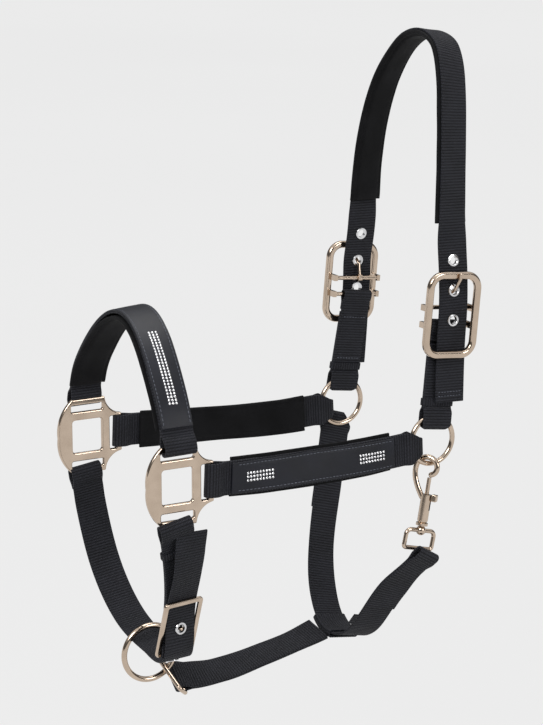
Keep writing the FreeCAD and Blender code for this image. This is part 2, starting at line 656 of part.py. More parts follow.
def chin_eyelet_places():
    """Distances along the chin strap of its eyelets, the one in use first."""
    seat = chin_path.where_z((CHIN_HEEL + CHIN_UP * CHIN_SEAT).z, from_end=True)
    return [seat, seat - EYELET_PITCH * 1.6]


def chin_webbing():
    strap = ribbon(chin_path, WEB_WIDTH, -WEB_THICK / 2, WEB_THICK / 2, count=64)
    for s in chin_eyelet_places():
        strap = strap.cut(eyelet_hole(chin_path, s))
    off = placed(bar_loop(BAR_LOOP, 14.0), V(-HALF_AT_SQUARE, SQUARE_Y, BOTTOM_BAR.z), V(0, 0, -1), V(0, 1, 0))
    return solid_of(strap.fuse(off))


# ---------------------------------------------------------------- jowl link
WIRE_SPOT = CHIN_RING + V(0, 0.66, -0.75) * CHIN_RING_RADIUS
LINK_LONG = unit(V(0.86, 0.14, -0.49))
LINK_OUT = unit(V(0, 0.66, -0.75) - LINK_LONG * LINK_LONG.dot(V(0, 0.66, -0.75)))
LINK_WIRE = 3.4
LINK_INNER_GAP = 4.4        # ring wire to the inner bar, centre to centre
LINK_OUTER_GAP = 6.6        # ring wire to the outer bar
LINK_LENGTH = 33.5
LINK_SHIFT = 8.5


def link_shape():
    """A rectangular wire link with rounded corners. Local x out from the ring, y along its length."""
    span = LINK_INNER_GAP + LINK_OUTER_GAP
    w, h, r = span / 2, (LINK_LENGTH - LINK_WIRE) / 2, 3.0
    k = r * (1 - math.sqrt(0.5))
    pts = [(w, h, 1, 1), (-w, h, -1, 1), (-w, -h, -1, -1), (w, -h, 1, -1)]
    edges = []
    arcs = []
    for i, (cx, cy, sx, sy) in enumerate(pts):
        a, b = V(cx, cy - sy * r, 0), V(cx - sx * r, cy, 0)
        if i % 2:
            a, b = b, a
        arcs.append((a, V(cx - sx * k, cy - sy * k, 0), b))
    for i, (a, mid, b) in enumerate(arcs):
        edges.append(Part.Arc(a, mid, b).toShape())
        edges.append(Part.makeLine(b, arcs[(i + 1) % 4][0]))
    path = Part.Wire(edges)
    start = arcs[0][0]
    tangent = edges[0].tangentAt(edges[0].FirstParameter)
    circle = Part.Wire(Part.makeCircle(LINK_WIRE / 2, start, tangent))
    body = path.makePipeShell([circle], True, True)
    body.translate(V((LINK_OUTER_GAP - LINK_INNER_GAP) / 2, 0, 0))
    return body


def jowl_link():
    return placed(link_shape(), WIRE_SPOT + LINK_LONG * LINK_SHIFT, LINK_OUT, LINK_LONG)


CHIN_TONGUE = 1.2           # radius
CHIN_SEAT = 21.0            # the eyelet in use, above the heel bar


def in_chin(shape):
    """From chin buckle axes (x up the frame, y across, z out) to the head."""
    return placed(shape, CHIN_HEEL, CHIN_UP, CHIN_ACROSS * -1)


def wedge_dir(direction, other):
    """The part of one direction that is square to another."""
    return unit(V(direction) - other * other.dot(V(direction)))


# ---------------------------------------------------------------- chin hanger and tongue
HANGER_TOP = V(HALF_AT_SQUARE, SQUARE_Y, BOTTOM_BAR.z)
HANGER_REACH = 14.0
HANGER_INSIDE = 1.5 * WEB_THICK + 4 * RUN_GAP         # hanger's middle inside the strap's middle
hanger_low_dir = unit(inside_top - CHIN_HEEL - CHIN_OUT * HANGER_INSIDE)


def chin_hanger_path():
    """From the square's lower bar down behind the strap to the chin buckle's heel bar."""
    top = HANGER_TOP - V(0, 0, HANGER_REACH)
    low = CHIN_HEEL + hanger_low_dir * HANGER_REACH
    return Path([(tuple(top), (0, 1, 0)),
                 (tuple(inside_top - CHIN_OUT * HANGER_INSIDE), tuple(CHIN_ACROSS)),
                 (tuple(low), tuple(CHIN_ACROSS))])


def chin_hanger():
    path = chin_hanger_path()
    strap = ribbon(path, WEB_WIDTH, -WEB_THICK, WEB_THICK, count=8)
    top = placed(bar_loop(BAR_LOOP, HANGER_REACH), HANGER_TOP, V(0, 0, -1), V(0, 1, 0))
    low = placed(bar_loop(CHIN_BAR / 2 + RUN_GAP, HANGER_REACH, flat=1.5, taper=9.5),
                 CHIN_HEEL, hanger_low_dir, CHIN_ACROSS)
    slot = Part.makeBox(CHIN_SEAT + 8.0, 2 * CHIN_TONGUE + 2.2, 16, V(-5.0, -CHIN_TONGUE - 1.1, -8))
    return solid_of(strap.fuse(top).fuse(low).cut(in_chin(slot)))


def chin_keeper():
    path = chin_hanger_path()
    p, along, across, _ = path.at(9.0)
    return placed(sleeve(WEB_WIDTH, 2 * WEB_THICK + 0.3, KEEPER_THICK, KEEPER_HEIGHT), p, along, across)


def chin_tongue():
    """A short tongue on the heel bar, its round tip coming up through the eyelet."""
    bore = CHIN_BAR / 2 + 0.08
    r = CHIN_TONGUE
    hub = Part.makeCylinder(bore + 1.1, 2 * r + 1.0, V(0, -r - 0.5, 0), V(0, 1, 0))
    x = CHIN_SEAT
    points = [V(2.4, 0, -0.3), V(10.0, 0, -1.4), V(x - 1.8, 0, -1.9), V(x + 0.2, 0, 1.2), V(x + 0.6, 0, 3.0)]
    body = hub.fuse(rod(points, r)).cut(Part.makeCylinder(bore, 8, V(0, -4, 0), V(0, 1, 0)))
    return in_chin(solid_of(body))


# ---------------------------------------------------------------- where the snap and its dee hang
SNAP_WIRE = 4.2             # hook, round
HOOK_RADIUS = 8.4           # of the hook's bend, to the middle of its wire
NOSE_X = 4.6                # end of the hook's nose, below the middle of its bend
SNAP_GATE = 0.35            # between the bolt's tip and the hook's nose
BARREL = 8.2
BARREL_TOP = 20.0           # below the middle of the bend
BARREL_Y = 3.0
BARREL_LENGTH = 20.0
BARREL_BORE = 4.6
BORE_DEPTH = 15.5
BOLT_GAP = 0.05             # radial, bolt in its barrel
BOLT_PIN = 1.6
BOLT_LENGTH = 6.5
BOLT_TRAVEL = 7.5
POST_RADIUS = 1.9
POST_LENGTH = 7.4
SWIVEL_BALL = 7.6
SNAP_DOWN = unit(V(0.03, -0.19, -0.98))
SNAP_FACE = unit(V(0.61, -0.79, 0.0) - SNAP_DOWN * SNAP_DOWN.dot(V(0.61, -0.79, 0.0)))
SNAP_SIDE = SNAP_DOWN.cross(SNAP_FACE)
SNAP_AT = V(HALF_AT_CHEEK + 0.5, RING_Y - 2.6, RING_Z - RING_RADIUS + RING_WIRE / 2 + SNAP_WIRE / 2 + 1.1)
SNAP_AT = SNAP_AT + SNAP_DOWN * HOOK_RADIUS
SWIVEL_AT = V(BARREL_TOP + BARREL_LENGTH + 8.0, BARREL_Y, 0)
SWIVEL = SNAP_AT + SNAP_DOWN * SWIVEL_AT.x - SNAP_SIDE * SWIVEL_AT.y
DEE_WIRE = 3.4
DEE_INNER = 22.0
DEE_STRAP = 21.0
DEE_RISE = 14.0             # swivel to fold, middle to middle
DEE_DOWN = unit(V(0.04, -0.24, -0.97))
DEE_BACK = unit(V(0, 0.97, -0.24) - DEE_DOWN * DEE_DOWN.dot(V(0, 0.97, -0.24)))
DEE_BAR = SWIVEL + DEE_DOWN * DEE_RISE

# ---------------------------------------------------------------- throat strap, jowl strap
throat_from = V(-HALF_AT_CHEEK, RING_Y, RING_Z)
throat_dir = unit(V(0, -0.21, -0.98))
THROAT_REACH = 36.0
throat_path = Path([(tuple(throat_from + throat_dir * THROAT_REACH), tuple(wedge_dir(V(0, 1, 0), throat_dir))),
                    ((-59.5, -43.5, -363.0), (-0.06, 0.97, -0.14)),
                    ((-48.5, -56.0, -407.0), (-0.12, 0.97, -0.2)),
                    ((-26.5, -66.0, -444.0), (0.0, 0.97, -0.2)),
                    ((0.0, -69.5, -462.0), (0.0, 0.98, -0.15)),
                    ((26.0, -67.5, -459.5), (0.0, 0.97, -0.2)),
                    ((43.0, -64.0, -443.0), (0.0, 0.94, -0.34)),
                    ((60.5, -57.0, -415.0), (0.0, 0.93, -0.37)),
                    (tuple(DEE_BAR + DEE_DOWN * 15.0), tuple(DEE_BACK))])


def throat_webbing():
    """From the off ring under the throat to the snap's dee, a loop at each end."""
    def width(s):
        f = min(max((throat_path.total - s) / 26.0, 0.0), 1.0)
        return DEE_STRAP + (WEB_WIDTH - DEE_STRAP) * f * f * (3 - 2 * f)

    strap = ribbon(throat_path, width, -WEB_THICK, WEB_THICK, count=30)
    off = placed(ring_loop(THROAT_REACH, (60.0, 34.5)), throat_from, throat_dir,
                 wedge_dir(V(0, -1, 0), throat_dir))
    near = placed(bar_loop(DEE_WIRE / 2 + RUN_GAP, 15.0, width=DEE_STRAP), DEE_BAR, DEE_DOWN, DEE_BACK)
    return solid_of(strap.fuse(off).fuse(near))


JOWL_START = WIRE_SPOT + LINK_LONG * LINK_SHIFT + LINK_OUT * LINK_OUTER_GAP
JOWL_LOOP = LINK_WIRE / 2 + RUN_GAP
jowl_dir = wedge_dir(V(0, 1, -0.05), LINK_LONG)
JOWL_REACH = 13.0
CROSSING = throat_path.where_z(-461.5)
SLEEVE_GAP = 0.4
SLEEVE_WALL = 1.5


def jowl_path():
    """From the link back along the jaw to the throat strap."""
    p, along, across, out = throat_path.at(CROSSING)
    end = p - across * (WEB_WIDTH / 2)
    return Path([(tuple(JOWL_START + jowl_dir * JOWL_REACH), tuple(LINK_LONG)),
                 ((3.0, -176.0, -476.5), (0.94, 0.05, -0.32)),
                 ((2.0, -140.0, -471.5), (0.97, 0.0, -0.2)),
                 ((0.5, -112.0, -466.8), (0.98, 0.0, -0.16)),
                 (tuple(end), tuple(along))])


def jowl_webbing():
    """A doubled strap with a fold at the link and a sleeve sewn round the throat strap."""
    path = jowl_path()
    strap = ribbon(path, WEB_WIDTH, -WEB_THICK, WEB_THICK, count=14)
    front = placed(bar_loop(JOWL_LOOP, JOWL_REACH), JOWL_START, jowl_dir, LINK_LONG)
    room = SLEEVE_GAP + SLEEVE_WALL + 0.15
    around = ribbon(throat_path, WEB_WIDTH + 2 * room, -WEB_THICK - room, WEB_THICK + room,
                    CROSSING - 18, CROSSING + 18, count=14)
    return solid_of(strap.fuse(front).cut(around))


def throat_sleeve():
    """The sewn loop that holds the jowl strap to the throat strap."""
    half = WEB_WIDTH / 2
    start, stop = CROSSING - half, CROSSING + half
    gap, wall = SLEEVE_GAP, SLEEVE_WALL
    outer = ribbon(throat_path, WEB_WIDTH + 2 * (gap + wall), -WEB_THICK - gap - wall, WEB_THICK + gap + wall,
                   start, stop, count=10)
    inner = ribbon(throat_path, WEB_WIDTH + 2 * gap, -WEB_THICK - gap, WEB_THICK + gap,
                   start - 2, stop + 2, count=12)
    return solid_of(outer.cut(inner))


# ---------------------------------------------------------------- snap hook on the near ring
def in_snap(shape):
    """From snap axes (x down the snap from the middle of the hook's bend, y across it) to the ring."""
    return placed(shape, SNAP_AT, SNAP_DOWN, SNAP_SIDE * -1)


def curve_tube(points, radius):
    """A round tube along a smooth curve through points, with round ends."""
    curve = Part.BSplineCurve()
    curve.interpolate(Points=points)
    wire = Part.Wire(curve.toShape())
    circle = Part.Wire(Part.makeCircle(radius, points[0], V(*curve.tangent(0)[0])))
    body = wire.makePipeShell([circle], True, True)
    return body.fuse(Part.makeSphere(radius, points[0])).fuse(Part.makeSphere(radius, points[-1]))


def snap_body():
    """Hook and barrel in one casting, bored for the bolt, with a collar for the swivel."""
    r = HOOK_RADIUS
    line = [V(NOSE_X, BARREL_Y + 1.0, 0), V(-0.5, r - 0.6, 0), V(-r * 0.66, r * 0.72, 0), V(-r, 0, 0),
            V(-r * 0.62, -r * 0.80, 0), V(1.5, -r - 0.6, 0), V(10.0, -r + 0.8, 0),
            V(BARREL_TOP + 2.5, BARREL_Y - 3.6, 0)]
    hook = curve_tube(line, SNAP_WIRE / 2)
    end = BARREL_TOP + BARREL_LENGTH
    body = hook.fuse(Part.makeCylinder(BARREL / 2, BARREL_LENGTH, V(BARREL_TOP, BARREL_Y, 0), V(1, 0, 0)))
    body = body.fuse(Part.makeCone(BARREL / 2, 3.2, 2.2, V(end, BARREL_Y, 0), V(1, 0, 0)))
    body = body.fuse(Part.makeCylinder(4.6, 2.0, V(end + 2.0, BARREL_Y, 0), V(1, 0, 0)))
    bore = Part.makeCylinder(BARREL_BORE / 2, BORE_DEPTH + 4.0, V(BARREL_TOP - 4.0, BARREL_Y, 0), V(1, 0, 0))
    slot = Part.makeBox(BOLT_TRAVEL + 8.4, BARREL, 2.8, V(BARREL_TOP - 4.0, BARREL_Y, -1.4))
    seat = Part.makeCylinder(POST_RADIUS + 0.06, 8, V(end - 1.6, BARREL_Y, 0), V(1, 0, 0))
    return in_snap(solid_of(body.cut(bore).cut(slot).cut(seat)))


def snap_bolt():
    """The straight sprung bolt that shuts the hook, with its thumb knob."""
    tip = NOSE_X + SNAP_WIRE / 2 + SNAP_GATE
    rod_in = Part.makeCylinder(BARREL_BORE / 2 - BOLT_GAP, BOLT_LENGTH, V(BARREL_TOP, BARREL_Y, 0), V(1, 0, 0))
    pin = Part.makeCylinder(BOLT_PIN, BARREL_TOP + 1 - tip, V(tip, BARREL_Y, 0), V(1, 0, 0))
    stem = Part.makeBox(3.4, 4.6, 2.2, V(BARREL_TOP, BARREL_Y, -1.1))
    knob = Part.makeBox(5.4, 4.2, 5.0, V(BARREL_TOP - 1.0, BARREL_Y + BARREL / 2 + 0.3, -2.5))
    knob = knob.makeFillet(0.8, knob.Edges)
    return in_snap(solid_of(rod_in.fuse(pin).fuse(stem).fuse(knob)))


def snap_swivel():
    """The ball-headed post turning in the barrel's collar, pierced for the dee."""
    ball = Part.makeSphere(SWIVEL_BALL / 2, SWIVEL_AT)
    post = Part.makeCylinder(POST_RADIUS, POST_LENGTH, SWIVEL_AT - V(POST_LENGTH, 0, 0), V(1, 0, 0))
    body = in_snap(solid_of(ball.fuse(post)))
    bore = Part.makeCylinder(DEE_WIRE / 2 + 0.08, 12, SWIVEL - DEE_BACK * 6, DEE_BACK)
    return solid_of(body.cut(bore))


def snap_dee():
    """A wire dee, straight at the swivel and in the fold, with round shoulders."""
    half = DEE_INNER / 2 + DEE_WIRE / 2

    def p(x, y):
        return DEE_BAR - DEE_DOWN * x + DEE_BACK * y

    corners = []
    for sx, sy in ((1, 1), (1, -1), (0, -1), (0, 1)):
        x, y = DEE_RISE * sx, half * sy
        turn, r = (-1, 4.0) if sx else (1, 2.0)
        k = r * (1 - math.sqrt(0.5))
        a, b = p(x + r * turn, y), p(x, y - r * sy)
        if (sx, sy) in ((1, -1), (0, 1)):
            a, b = b, a
        corners.append((a, p(x + k * turn, y - k * sy), b))
    loop = []
    for i, (a, mid, b) in enumerate(corners):
        loop.append(Part.Arc(a, mid, b).toShape())
        loop.append(Part.makeLine(b, corners[(i + 1) % 4][0]))
    circle = Part.Wire(Part.makeCircle(DEE_WIRE / 2, corners[0][0], DEE_DOWN))
    return Part.Wire(loop).makePipeShell([circle], True, True)


def throat_tab():
    """The small fabric tab in the edge of the throat strap."""
    s = throat_path.total - 62.0
    p, along, across, out = throat_path.at(s)
    body = Part.makeBox(11.0, 4.5, 1.2, V(-5.5, -WEB_WIDTH / 2 - 4.6, -0.6))
    return placed(body, p, along, across)


# ---------------------------------------------------------------- write the pieces
def both(name, shape, store):
    store["near_" + name] = shape
    store["off_" + name] = mirrored(shape)


def build():
    parts = {}
    parts["crown_webbing"] = crown_webbing()
    parts["crown_lining"] = crown_lining()
    near, off = crown_eyelet_places()
    parts["near_crown_eyelets"] = Part.Compound([eyelet(crown_path, s) for s in near])
    parts["off_crown_eyelets"] = Part.Compound([eyelet(crown_path, s) for s in off])
    both("buckle_frame", buckle_frame(), parts)
    both("buckle_tongue", buckle_tongue(), parts)
    both("billet", billet(), parts)
    both("keeper", keeper(), parts)
    parts["size_tag"] = size_tag()
    both("cheek_ring", ring(CHEEK, RING_RADIUS, RING_WIRE), parts)
    both("cheek_webbing", cheek_webbing(), parts)
    both("cheek_lining", cheek_lining(), parts)
    both("cheek_overlay", cheek_overlay(), parts)
    both("cheek_studs", cheek_studs(), parts)
    both("square", square_plate(), parts)
    parts["nose_webbing"] = nose_webbing()
    parts["nose_lining"] = nose_lining()
    parts["nose_overlay"] = nose_overlay()
    parts["nose_studs"] = nose_studs()
    parts["chin_webbing"] = chin_webbing()
    parts["chin_buckle_frame"] = chin_frame()
    parts["chin_ring"] = ring(CHIN_RING, CHIN_RING_RADIUS, CHIN_RING_WIRE)
    parts["jowl_link"] = jowl_link()
    parts["chin_hanger"] = chin_hanger()
    parts["chin_keeper"] = chin_keeper()
    parts["chin_buckle_tongue"] = chin_tongue()
    parts["chin_eyelets"] = Part.Compound([eyelet(chin_path, s, 0.4) for s in chin_eyelet_places()])
    parts["throat_webbing"] = throat_webbing()
    parts["jowl_webbing"] = jowl_webbing()
    parts["throat_sleeve"] = throat_sleeve()
    parts["snap_body"] = snap_body()
    parts["snap_bolt"] = snap_bolt()
    parts["snap_swivel"] = snap_swivel()
    parts["snap_dee"] = snap_dee()
    parts["throat_tab"] = throat_tab()
    return parts


for node, shape in build().items():
    print("%-22s solids %d valid %s volume %.0f" % (node, len(shape.Solids), shape.isValid(), shape.Volume))
    shape.exportStep("parts/%s.step" % node)
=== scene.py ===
"""A horse headcollar in its worn shape: webbing, padding, overlays and plated hardware."""
import math

import bpy
import numpy as np
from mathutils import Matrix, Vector, noise


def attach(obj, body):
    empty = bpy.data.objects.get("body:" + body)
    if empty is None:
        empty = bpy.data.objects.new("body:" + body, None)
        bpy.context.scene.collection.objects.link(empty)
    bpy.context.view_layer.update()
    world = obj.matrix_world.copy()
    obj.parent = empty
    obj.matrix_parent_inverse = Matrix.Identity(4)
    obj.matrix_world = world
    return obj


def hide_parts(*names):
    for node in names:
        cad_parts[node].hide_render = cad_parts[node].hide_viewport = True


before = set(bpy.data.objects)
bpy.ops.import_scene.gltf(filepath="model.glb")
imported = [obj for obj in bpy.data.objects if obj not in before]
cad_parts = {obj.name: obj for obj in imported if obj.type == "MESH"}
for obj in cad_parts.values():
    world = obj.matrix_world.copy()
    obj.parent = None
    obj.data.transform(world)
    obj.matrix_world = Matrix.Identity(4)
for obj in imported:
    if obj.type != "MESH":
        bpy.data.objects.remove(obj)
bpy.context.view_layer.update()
MM = 0.001

# ---------------------------------------------------------------- sizes, in millimetres
WEB_WIDTH = 25.0
WEB_THICK = 1.6
RIB_PITCH = 2.15
RIB_HEIGHT = 0.16
PAD_THICK = 4.0
CROWN_PAD_THICK = 4.6
PAD_WIDTH = 29.5
CROWN_PAD_WIDTH = 29.0
CHEEK_OVERLAY = 23.0
NOSE_OVERLAY = 24.6
OVERLAY_THICK = 1.3
LAYER_GAP = 0.05
THREAD = 0.55
STITCH_PITCH = 3.1
STITCH_INSET = 1.9          # edge of an overlay to its row of stitches
CROSS_PITCH = 2.6           # stitches in the rows across a strap
EYELET_HOLE = 3.85          # radius
ON_OVERLAY = WEB_THICK + LAYER_GAP + OVERLAY_THICK - 0.1

RING_FOLD = 12.36           # ring's middle to the strap's fold round its wire
RING_INNER = 2.3            # inner radius of that fold
SQUARE = (78.0, -247.2, -299.1)
SQUARE_BAR = 27.3           # square's middle to the bars inside the straps
BAR_INNER = 3.0


# ---------------------------------------------------------------- strap paths
def unit(v):
    """The same direction, one long."""
    v = np.asarray(v, float)
    return v / np.linalg.norm(v)


class Path:
    """The middle line of a strap, with the direction of its width at each station."""

    def __init__(self, stations):
        self.points = np.array([p for p, _ in stations], float)
        self.turns = np.array([unit(w) for _, w in stations])
        steps = np.linalg.norm(np.diff(self.points, axis=0), axis=1)
        self.s = np.concatenate([[0.0], np.cumsum(steps)])
        self.total = float(self.s[-1])
        self.slopes = self.solve()

    def solve(self):
        """Slopes at the stations that make the cubic through them smooth."""
        p, s, n = self.points, self.s, len(self.s)
        if n == 2:
            return np.repeat([(p[1] - p[0]) / s[1]], 2, axis=0)
        h = np.diff(s)
        chord = np.diff(p, axis=0) / h[:, None]
        a = np.zeros((n, n))
        b = np.zeros((n, 3))
        a[0, 0] = a[-1, -1] = 1.0
        b[0] = chord[0] + (chord[0] - chord[1]) * h[0] / (h[0] + h[1])
        b[-1] = chord[-1] + (chord[-1] - chord[-2]) * h[-1] / (h[-1] + h[-2])
        for i in range(1, n - 1):
            a[i, i - 1], a[i, i], a[i, i + 1] = h[i], 2 * (h[i - 1] + h[i]), h[i - 1]
            b[i] = 3 * (h[i] * chord[i - 1] + h[i - 1] * chord[i])
        return np.linalg.solve(a, b)

    def at(self, s):
        """Points, across and outward directions at many distances at once."""
        s = np.asarray(s, float)
        q = np.clip(s, 0, self.total)
        i = np.clip(np.searchsorted(self.s, q, side="right") - 1, 0, len(self.s) - 2)
        h = (self.s[i + 1] - self.s[i])[:, None]
        t = (q - self.s[i])[:, None] / h
        p0, p1, d0, d1 = self.points[i], self.points[i + 1], self.slopes[i], self.slopes[i + 1]
        p = ((2 * t ** 3 - 3 * t ** 2 + 1) * p0 + (t ** 3 - 2 * t ** 2 + t) * h * d0
             + (3 * t ** 2 - 2 * t ** 3) * p1 + (t ** 3 - t ** 2) * h * d1)
        d = ((6 * t ** 2 - 6 * t) * (p0 - p1) / h + (3 * t ** 2 - 4 * t + 1) * d0 + (3 * t ** 2 - 2 * t) * d1)
        d /= np.linalg.norm(d, axis=1)[:, None]
        p = p + d * (s - q)[:, None]
        f = t * t * (3 - 2 * t)
        across = self.turns[i] * (1 - f) + self.turns[i + 1] * f
        across -= d * np.sum(d * across, axis=1)[:, None]
        across /= np.linalg.norm(across, axis=1)[:, None]
        return p, across, np.cross(d, across)


class Fold:
    """Where a flat strip runs in a strap's side view: distance along it and height over its middle."""

    def __init__(self, points):
        self.p = np.array(points, float)
        steps = np.linalg.norm(np.diff(self.p, axis=0), axis=1)
        self.a = np.concatenate([[0.0], np.cumsum(steps)])
        self.total = float(self.a[-1])
        d = np.gradient(self.p, self.a, axis=0)
        self.d = d / np.linalg.norm(d, axis=1)[:, None]

    def at(self, a):
        s = np.interp(a, self.a, self.p[:, 0])
        h = np.interp(a, self.a, self.p[:, 1])
        dx = np.interp(a, self.a, self.d[:, 0])
        dz = np.interp(a, self.a, self.d[:, 1])
        n = np.hypot(dx, dz)
        return s, h, -dz / n, dx / n


def run_layer(bar, fold, tail, sign):
    """The part of a folded strap at a bar: out from its tail, round the bar and back, seen edge on."""
    inner, flat, taper = fold
    radius = inner + WEB_THICK / 2
    far = max(tail, taper + 4.0)
    legs = np.linspace(0.0, far, 60)
    f = np.clip((legs - flat) / (taper - flat), 0.0, 1.0)
    gap = radius + (WEB_THICK / 2 + 0.02 - radius) * f * f * (3 - 2 * f)
    inside = [(bar + sign * d, -g) for d, g in zip(legs, gap) if d <= tail][::-1]
    turn = np.radians(np.linspace(-90.0, -270.0, 15)[1:-1])
    bend = [(bar + sign * radius * math.cos(a), radius * math.sin(a)) for a in turn]
    outside = [(bar + sign * d, g) for d, g in zip(legs, gap)]
    return inside + bend + outside


def doubled(total, start=None, stop=None):
    """Side view of a strap folded round a bar at either end; start and stop are (reach, fold, tail)."""
    points = []
    if start:
        reach, fold, tail = start
        points += run_layer(-reach, fold, tail, 1)
    if stop:
        reach, fold, tail = stop
        points += run_layer(total + reach, fold, tail, -1)[::-1]
    return Fold(points)


# ---------------------------------------------------------------- flat strips and how they are laid
def only(piece):
    """Makes one object the selected and active one."""
    bpy.ops.object.select_all(action="DESELECT")
    piece.select_set(True)
    bpy.context.view_layer.objects.active = piece


def use(piece, kind, **values):
    """Adds a modifier, sets it and applies it."""
    only(piece)
    mod = piece.modifiers.new(kind.title(), kind)
    for key, value in values.items():
        setattr(mod, key, value)
    bpy.ops.object.modifier_apply(modifier=mod.name)


def joined(pieces):
    """Several objects made one, which keeps the first one's name."""
    if len(pieces) > 1:
        only(pieces[0])
        for piece in pieces:
            piece.select_set(True)
        bpy.ops.object.join()
    return pieces[0]


def flat_strip(name, length, width, thick, row, columns, edge):
    """A flat strip along x from the origin, thick through z, with rounded long edges."""
    bpy.ops.object.select_all(action="DESELECT")
    rows = max(4, int(round(length / row)))
    bpy.ops.mesh.primitive_grid_add(x_subdivisions=rows, y_subdivisions=columns, size=1.0)
    piece = bpy.context.object
    piece.name = name
    piece.data.name = name
    bpy.ops.object.mode_set(mode="EDIT")
    bpy.ops.mesh.select_all(action="SELECT")
    bpy.ops.transform.resize(value=(length * MM, width * MM, 1.0))
    bpy.ops.transform.translate(value=(length * MM / 2, 0, -thick * MM / 2))
    bpy.ops.mesh.extrude_region_move(TRANSFORM_OT_translate={"value": (0, 0, thick * MM)})
    bpy.ops.mesh.select_all(action="SELECT")
    bpy.ops.mesh.normals_make_consistent(inside=False)
    bpy.ops.object.mode_set(mode="OBJECT")
    if edge:
        use(piece, "BEVEL", width=edge * MM, segments=2, limit_method="ANGLE", angle_limit=math.radians(60))
    return piece


def flat_points(piece):
    """The strip's flat coordinates in millimetres, which also become its UV map in metres."""
    mesh = piece.data
    co = np.empty(len(mesh.vertices) * 3)
    mesh.vertices.foreach_get("co", co)
    co = co.reshape(-1, 3)
    loops = np.empty(len(mesh.loops), dtype=np.int64)
    mesh.loops.foreach_get("vertex_index", loops)
    uv = co[loops][:, :2]
    layer = mesh.uv_layers.active or mesh.uv_layers.new(name="flat")
    layer.data.foreach_set("uv", uv.ravel())
    return co / MM


def lay(piece, flat, path, fold=None, pinch=None, shift=0.0):
    """Bends a flat strip: through its fold, if it has one, then along the strap's path."""
    a, y, z = flat[:, 0], flat[:, 1], flat[:, 2]
    if fold is not None:
        s, h, ns, nh = fold.at(a)
        s, h = s + z * ns, h + z * nh
    else:
        s, h = a + shift, z
    if pinch is not None:
        y = y * pinch(s)
    p, across, out = path.at(s)
    points = (p + across * y[:, None] + out * h[:, None]) * MM
    piece.data.vertices.foreach_set("co", points.ravel())
    piece.data.update()
    only(piece)
    bpy.ops.object.shade_smooth()
    return piece


def ribbed(flat, thick, width):
    """Raises the woven ribs that cross the webbing on both faces."""
    rib = np.abs(np.sin(math.pi * flat[:, 0] / RIB_PITCH)) ** 0.7 - 0.6
    inside = np.clip((width / 2 - np.abs(flat[:, 1])) / 1.2, 0.25, 1.0)
    flat[:, 2] += np.sign(flat[:, 2]) * RIB_HEIGHT * rib * inside * (np.abs(flat[:, 2]) > thick * 0.2)
    return flat


def finished(piece, body, slot, material, *nodes):
    """Gives a piece its finish and its body, and hides the CAD nodes that it stands for."""
    piece.data.materials.clear()
    piece.data.materials.append(material)
    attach(piece, body)
    if nodes:
        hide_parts(*nodes)
    return piece


def webbing_piece(name, path, fold=None, length=None, pinch=None, holes=(), slots=(), shift=0.0,
                  nodes=()):
    """One strap of ribbed webbing with its folds, eyelet holes and edges."""
    length = fold.total if fold else length
    piece = flat_strip(name, length, WEB_WIDTH, WEB_THICK, RIB_PITCH / 4, 8, 0.45)
    if holes or slots:
        cutters = []
        for x0, x1, wide in slots:
            bpy.ops.mesh.primitive_cube_add(size=1.0, location=((x0 + x1) / 2 * MM, 0, 0),
                                            scale=((x1 - x0) * MM, wide * MM, 0.01))
            cutters.append(bpy.context.object)
        for x in holes:
            bpy.ops.mesh.primitive_cylinder_add(vertices=24, radius=EYELET_HOLE * MM, depth=0.01,
                                                location=(x * MM, 0, 0))
            cutters.append(bpy.context.object)
        cutter = joined(cutters)
        use(piece, "BOOLEAN", object=cutter, operation="DIFFERENCE", solver="EXACT")
        bpy.data.objects.remove(cutter)
    flat = ribbed(flat_points(piece), WEB_THICK, WEB_WIDTH)
    lay(piece, flat, path, fold, pinch, shift)
    return finished(piece, "straps", "webbing", webbing, *nodes)


def pad_piece(name, path, start, stop, width, thick, low, channels, body, node):
    """A stuffed strip under a strap: crowned face, stitched channels and drawn-in edges."""
    length = stop - start
    piece = flat_strip(name, length, width, thick, 1.1, 24, 0.5)
    flat = flat_points(piece)
    x, y, z = flat[:, 0], flat[:, 1], flat[:, 2]
    edge = np.clip(1.0 - (np.abs(y) / (width / 2)) ** 4, 0.0, 1.0) ** 0.5
    end = np.clip(np.minimum(x, length - x) / 4.0, 0.0, 1.0) ** 0.5
    fullness = 0.34 + 0.66 * edge * (0.3 + 0.7 * end)
    sewn = np.zeros_like(x)
    for at in channels:
        sewn = np.maximum(sewn, np.exp(-((np.abs(y) - at) / 0.75) ** 2))
    pucker = 0.5 + 0.5 * np.cos(2 * math.pi * x / 4.4)
    fullness -= sewn * (0.26 + 0.1 * pucker)
    ripple = np.array([noise.noise(Vector((a * 0.06, b * 0.12, 3.0))) for a, b in zip(x, y)])
    inner = z < 0
    z = np.where(inner, thick / 2 - thick * np.clip(fullness + 0.06 * ripple, 0.2, 1.05), z)
    bulge = np.where(inner, 0.0, 0.3 * (1 - edge))
    flat[:, 2] = low + thick / 2 + z - bulge
    lay(piece, flat, path, shift=start)
    return finished(piece, body, "lining", lining, node)


def overlay_piece(name, path, start, stop, width, low, body, node):
    """A smooth leather strip with rounded edges and a pressed line beside each row of stitches."""
    piece = flat_strip(name, stop - start, width, OVERLAY_THICK, 1.2, 30, 0.4)
    flat = flat_points(piece)
    y = flat[:, 1]
    top = flat[:, 2] > 0
    groove = np.exp(-((np.abs(y) - (width / 2 - STITCH_INSET)) / 0.45) ** 2) * 0.22
    crown = 0.18 * (1 - (np.abs(y) / (width / 2)) ** 2)
    flat[:, 2] += np.where(top, crown - groove - 0.12, 0.0) + low + OVERLAY_THICK / 2
    lay(piece, flat, path, shift=start)
    return finished(piece, body, "overlay", leather, node)


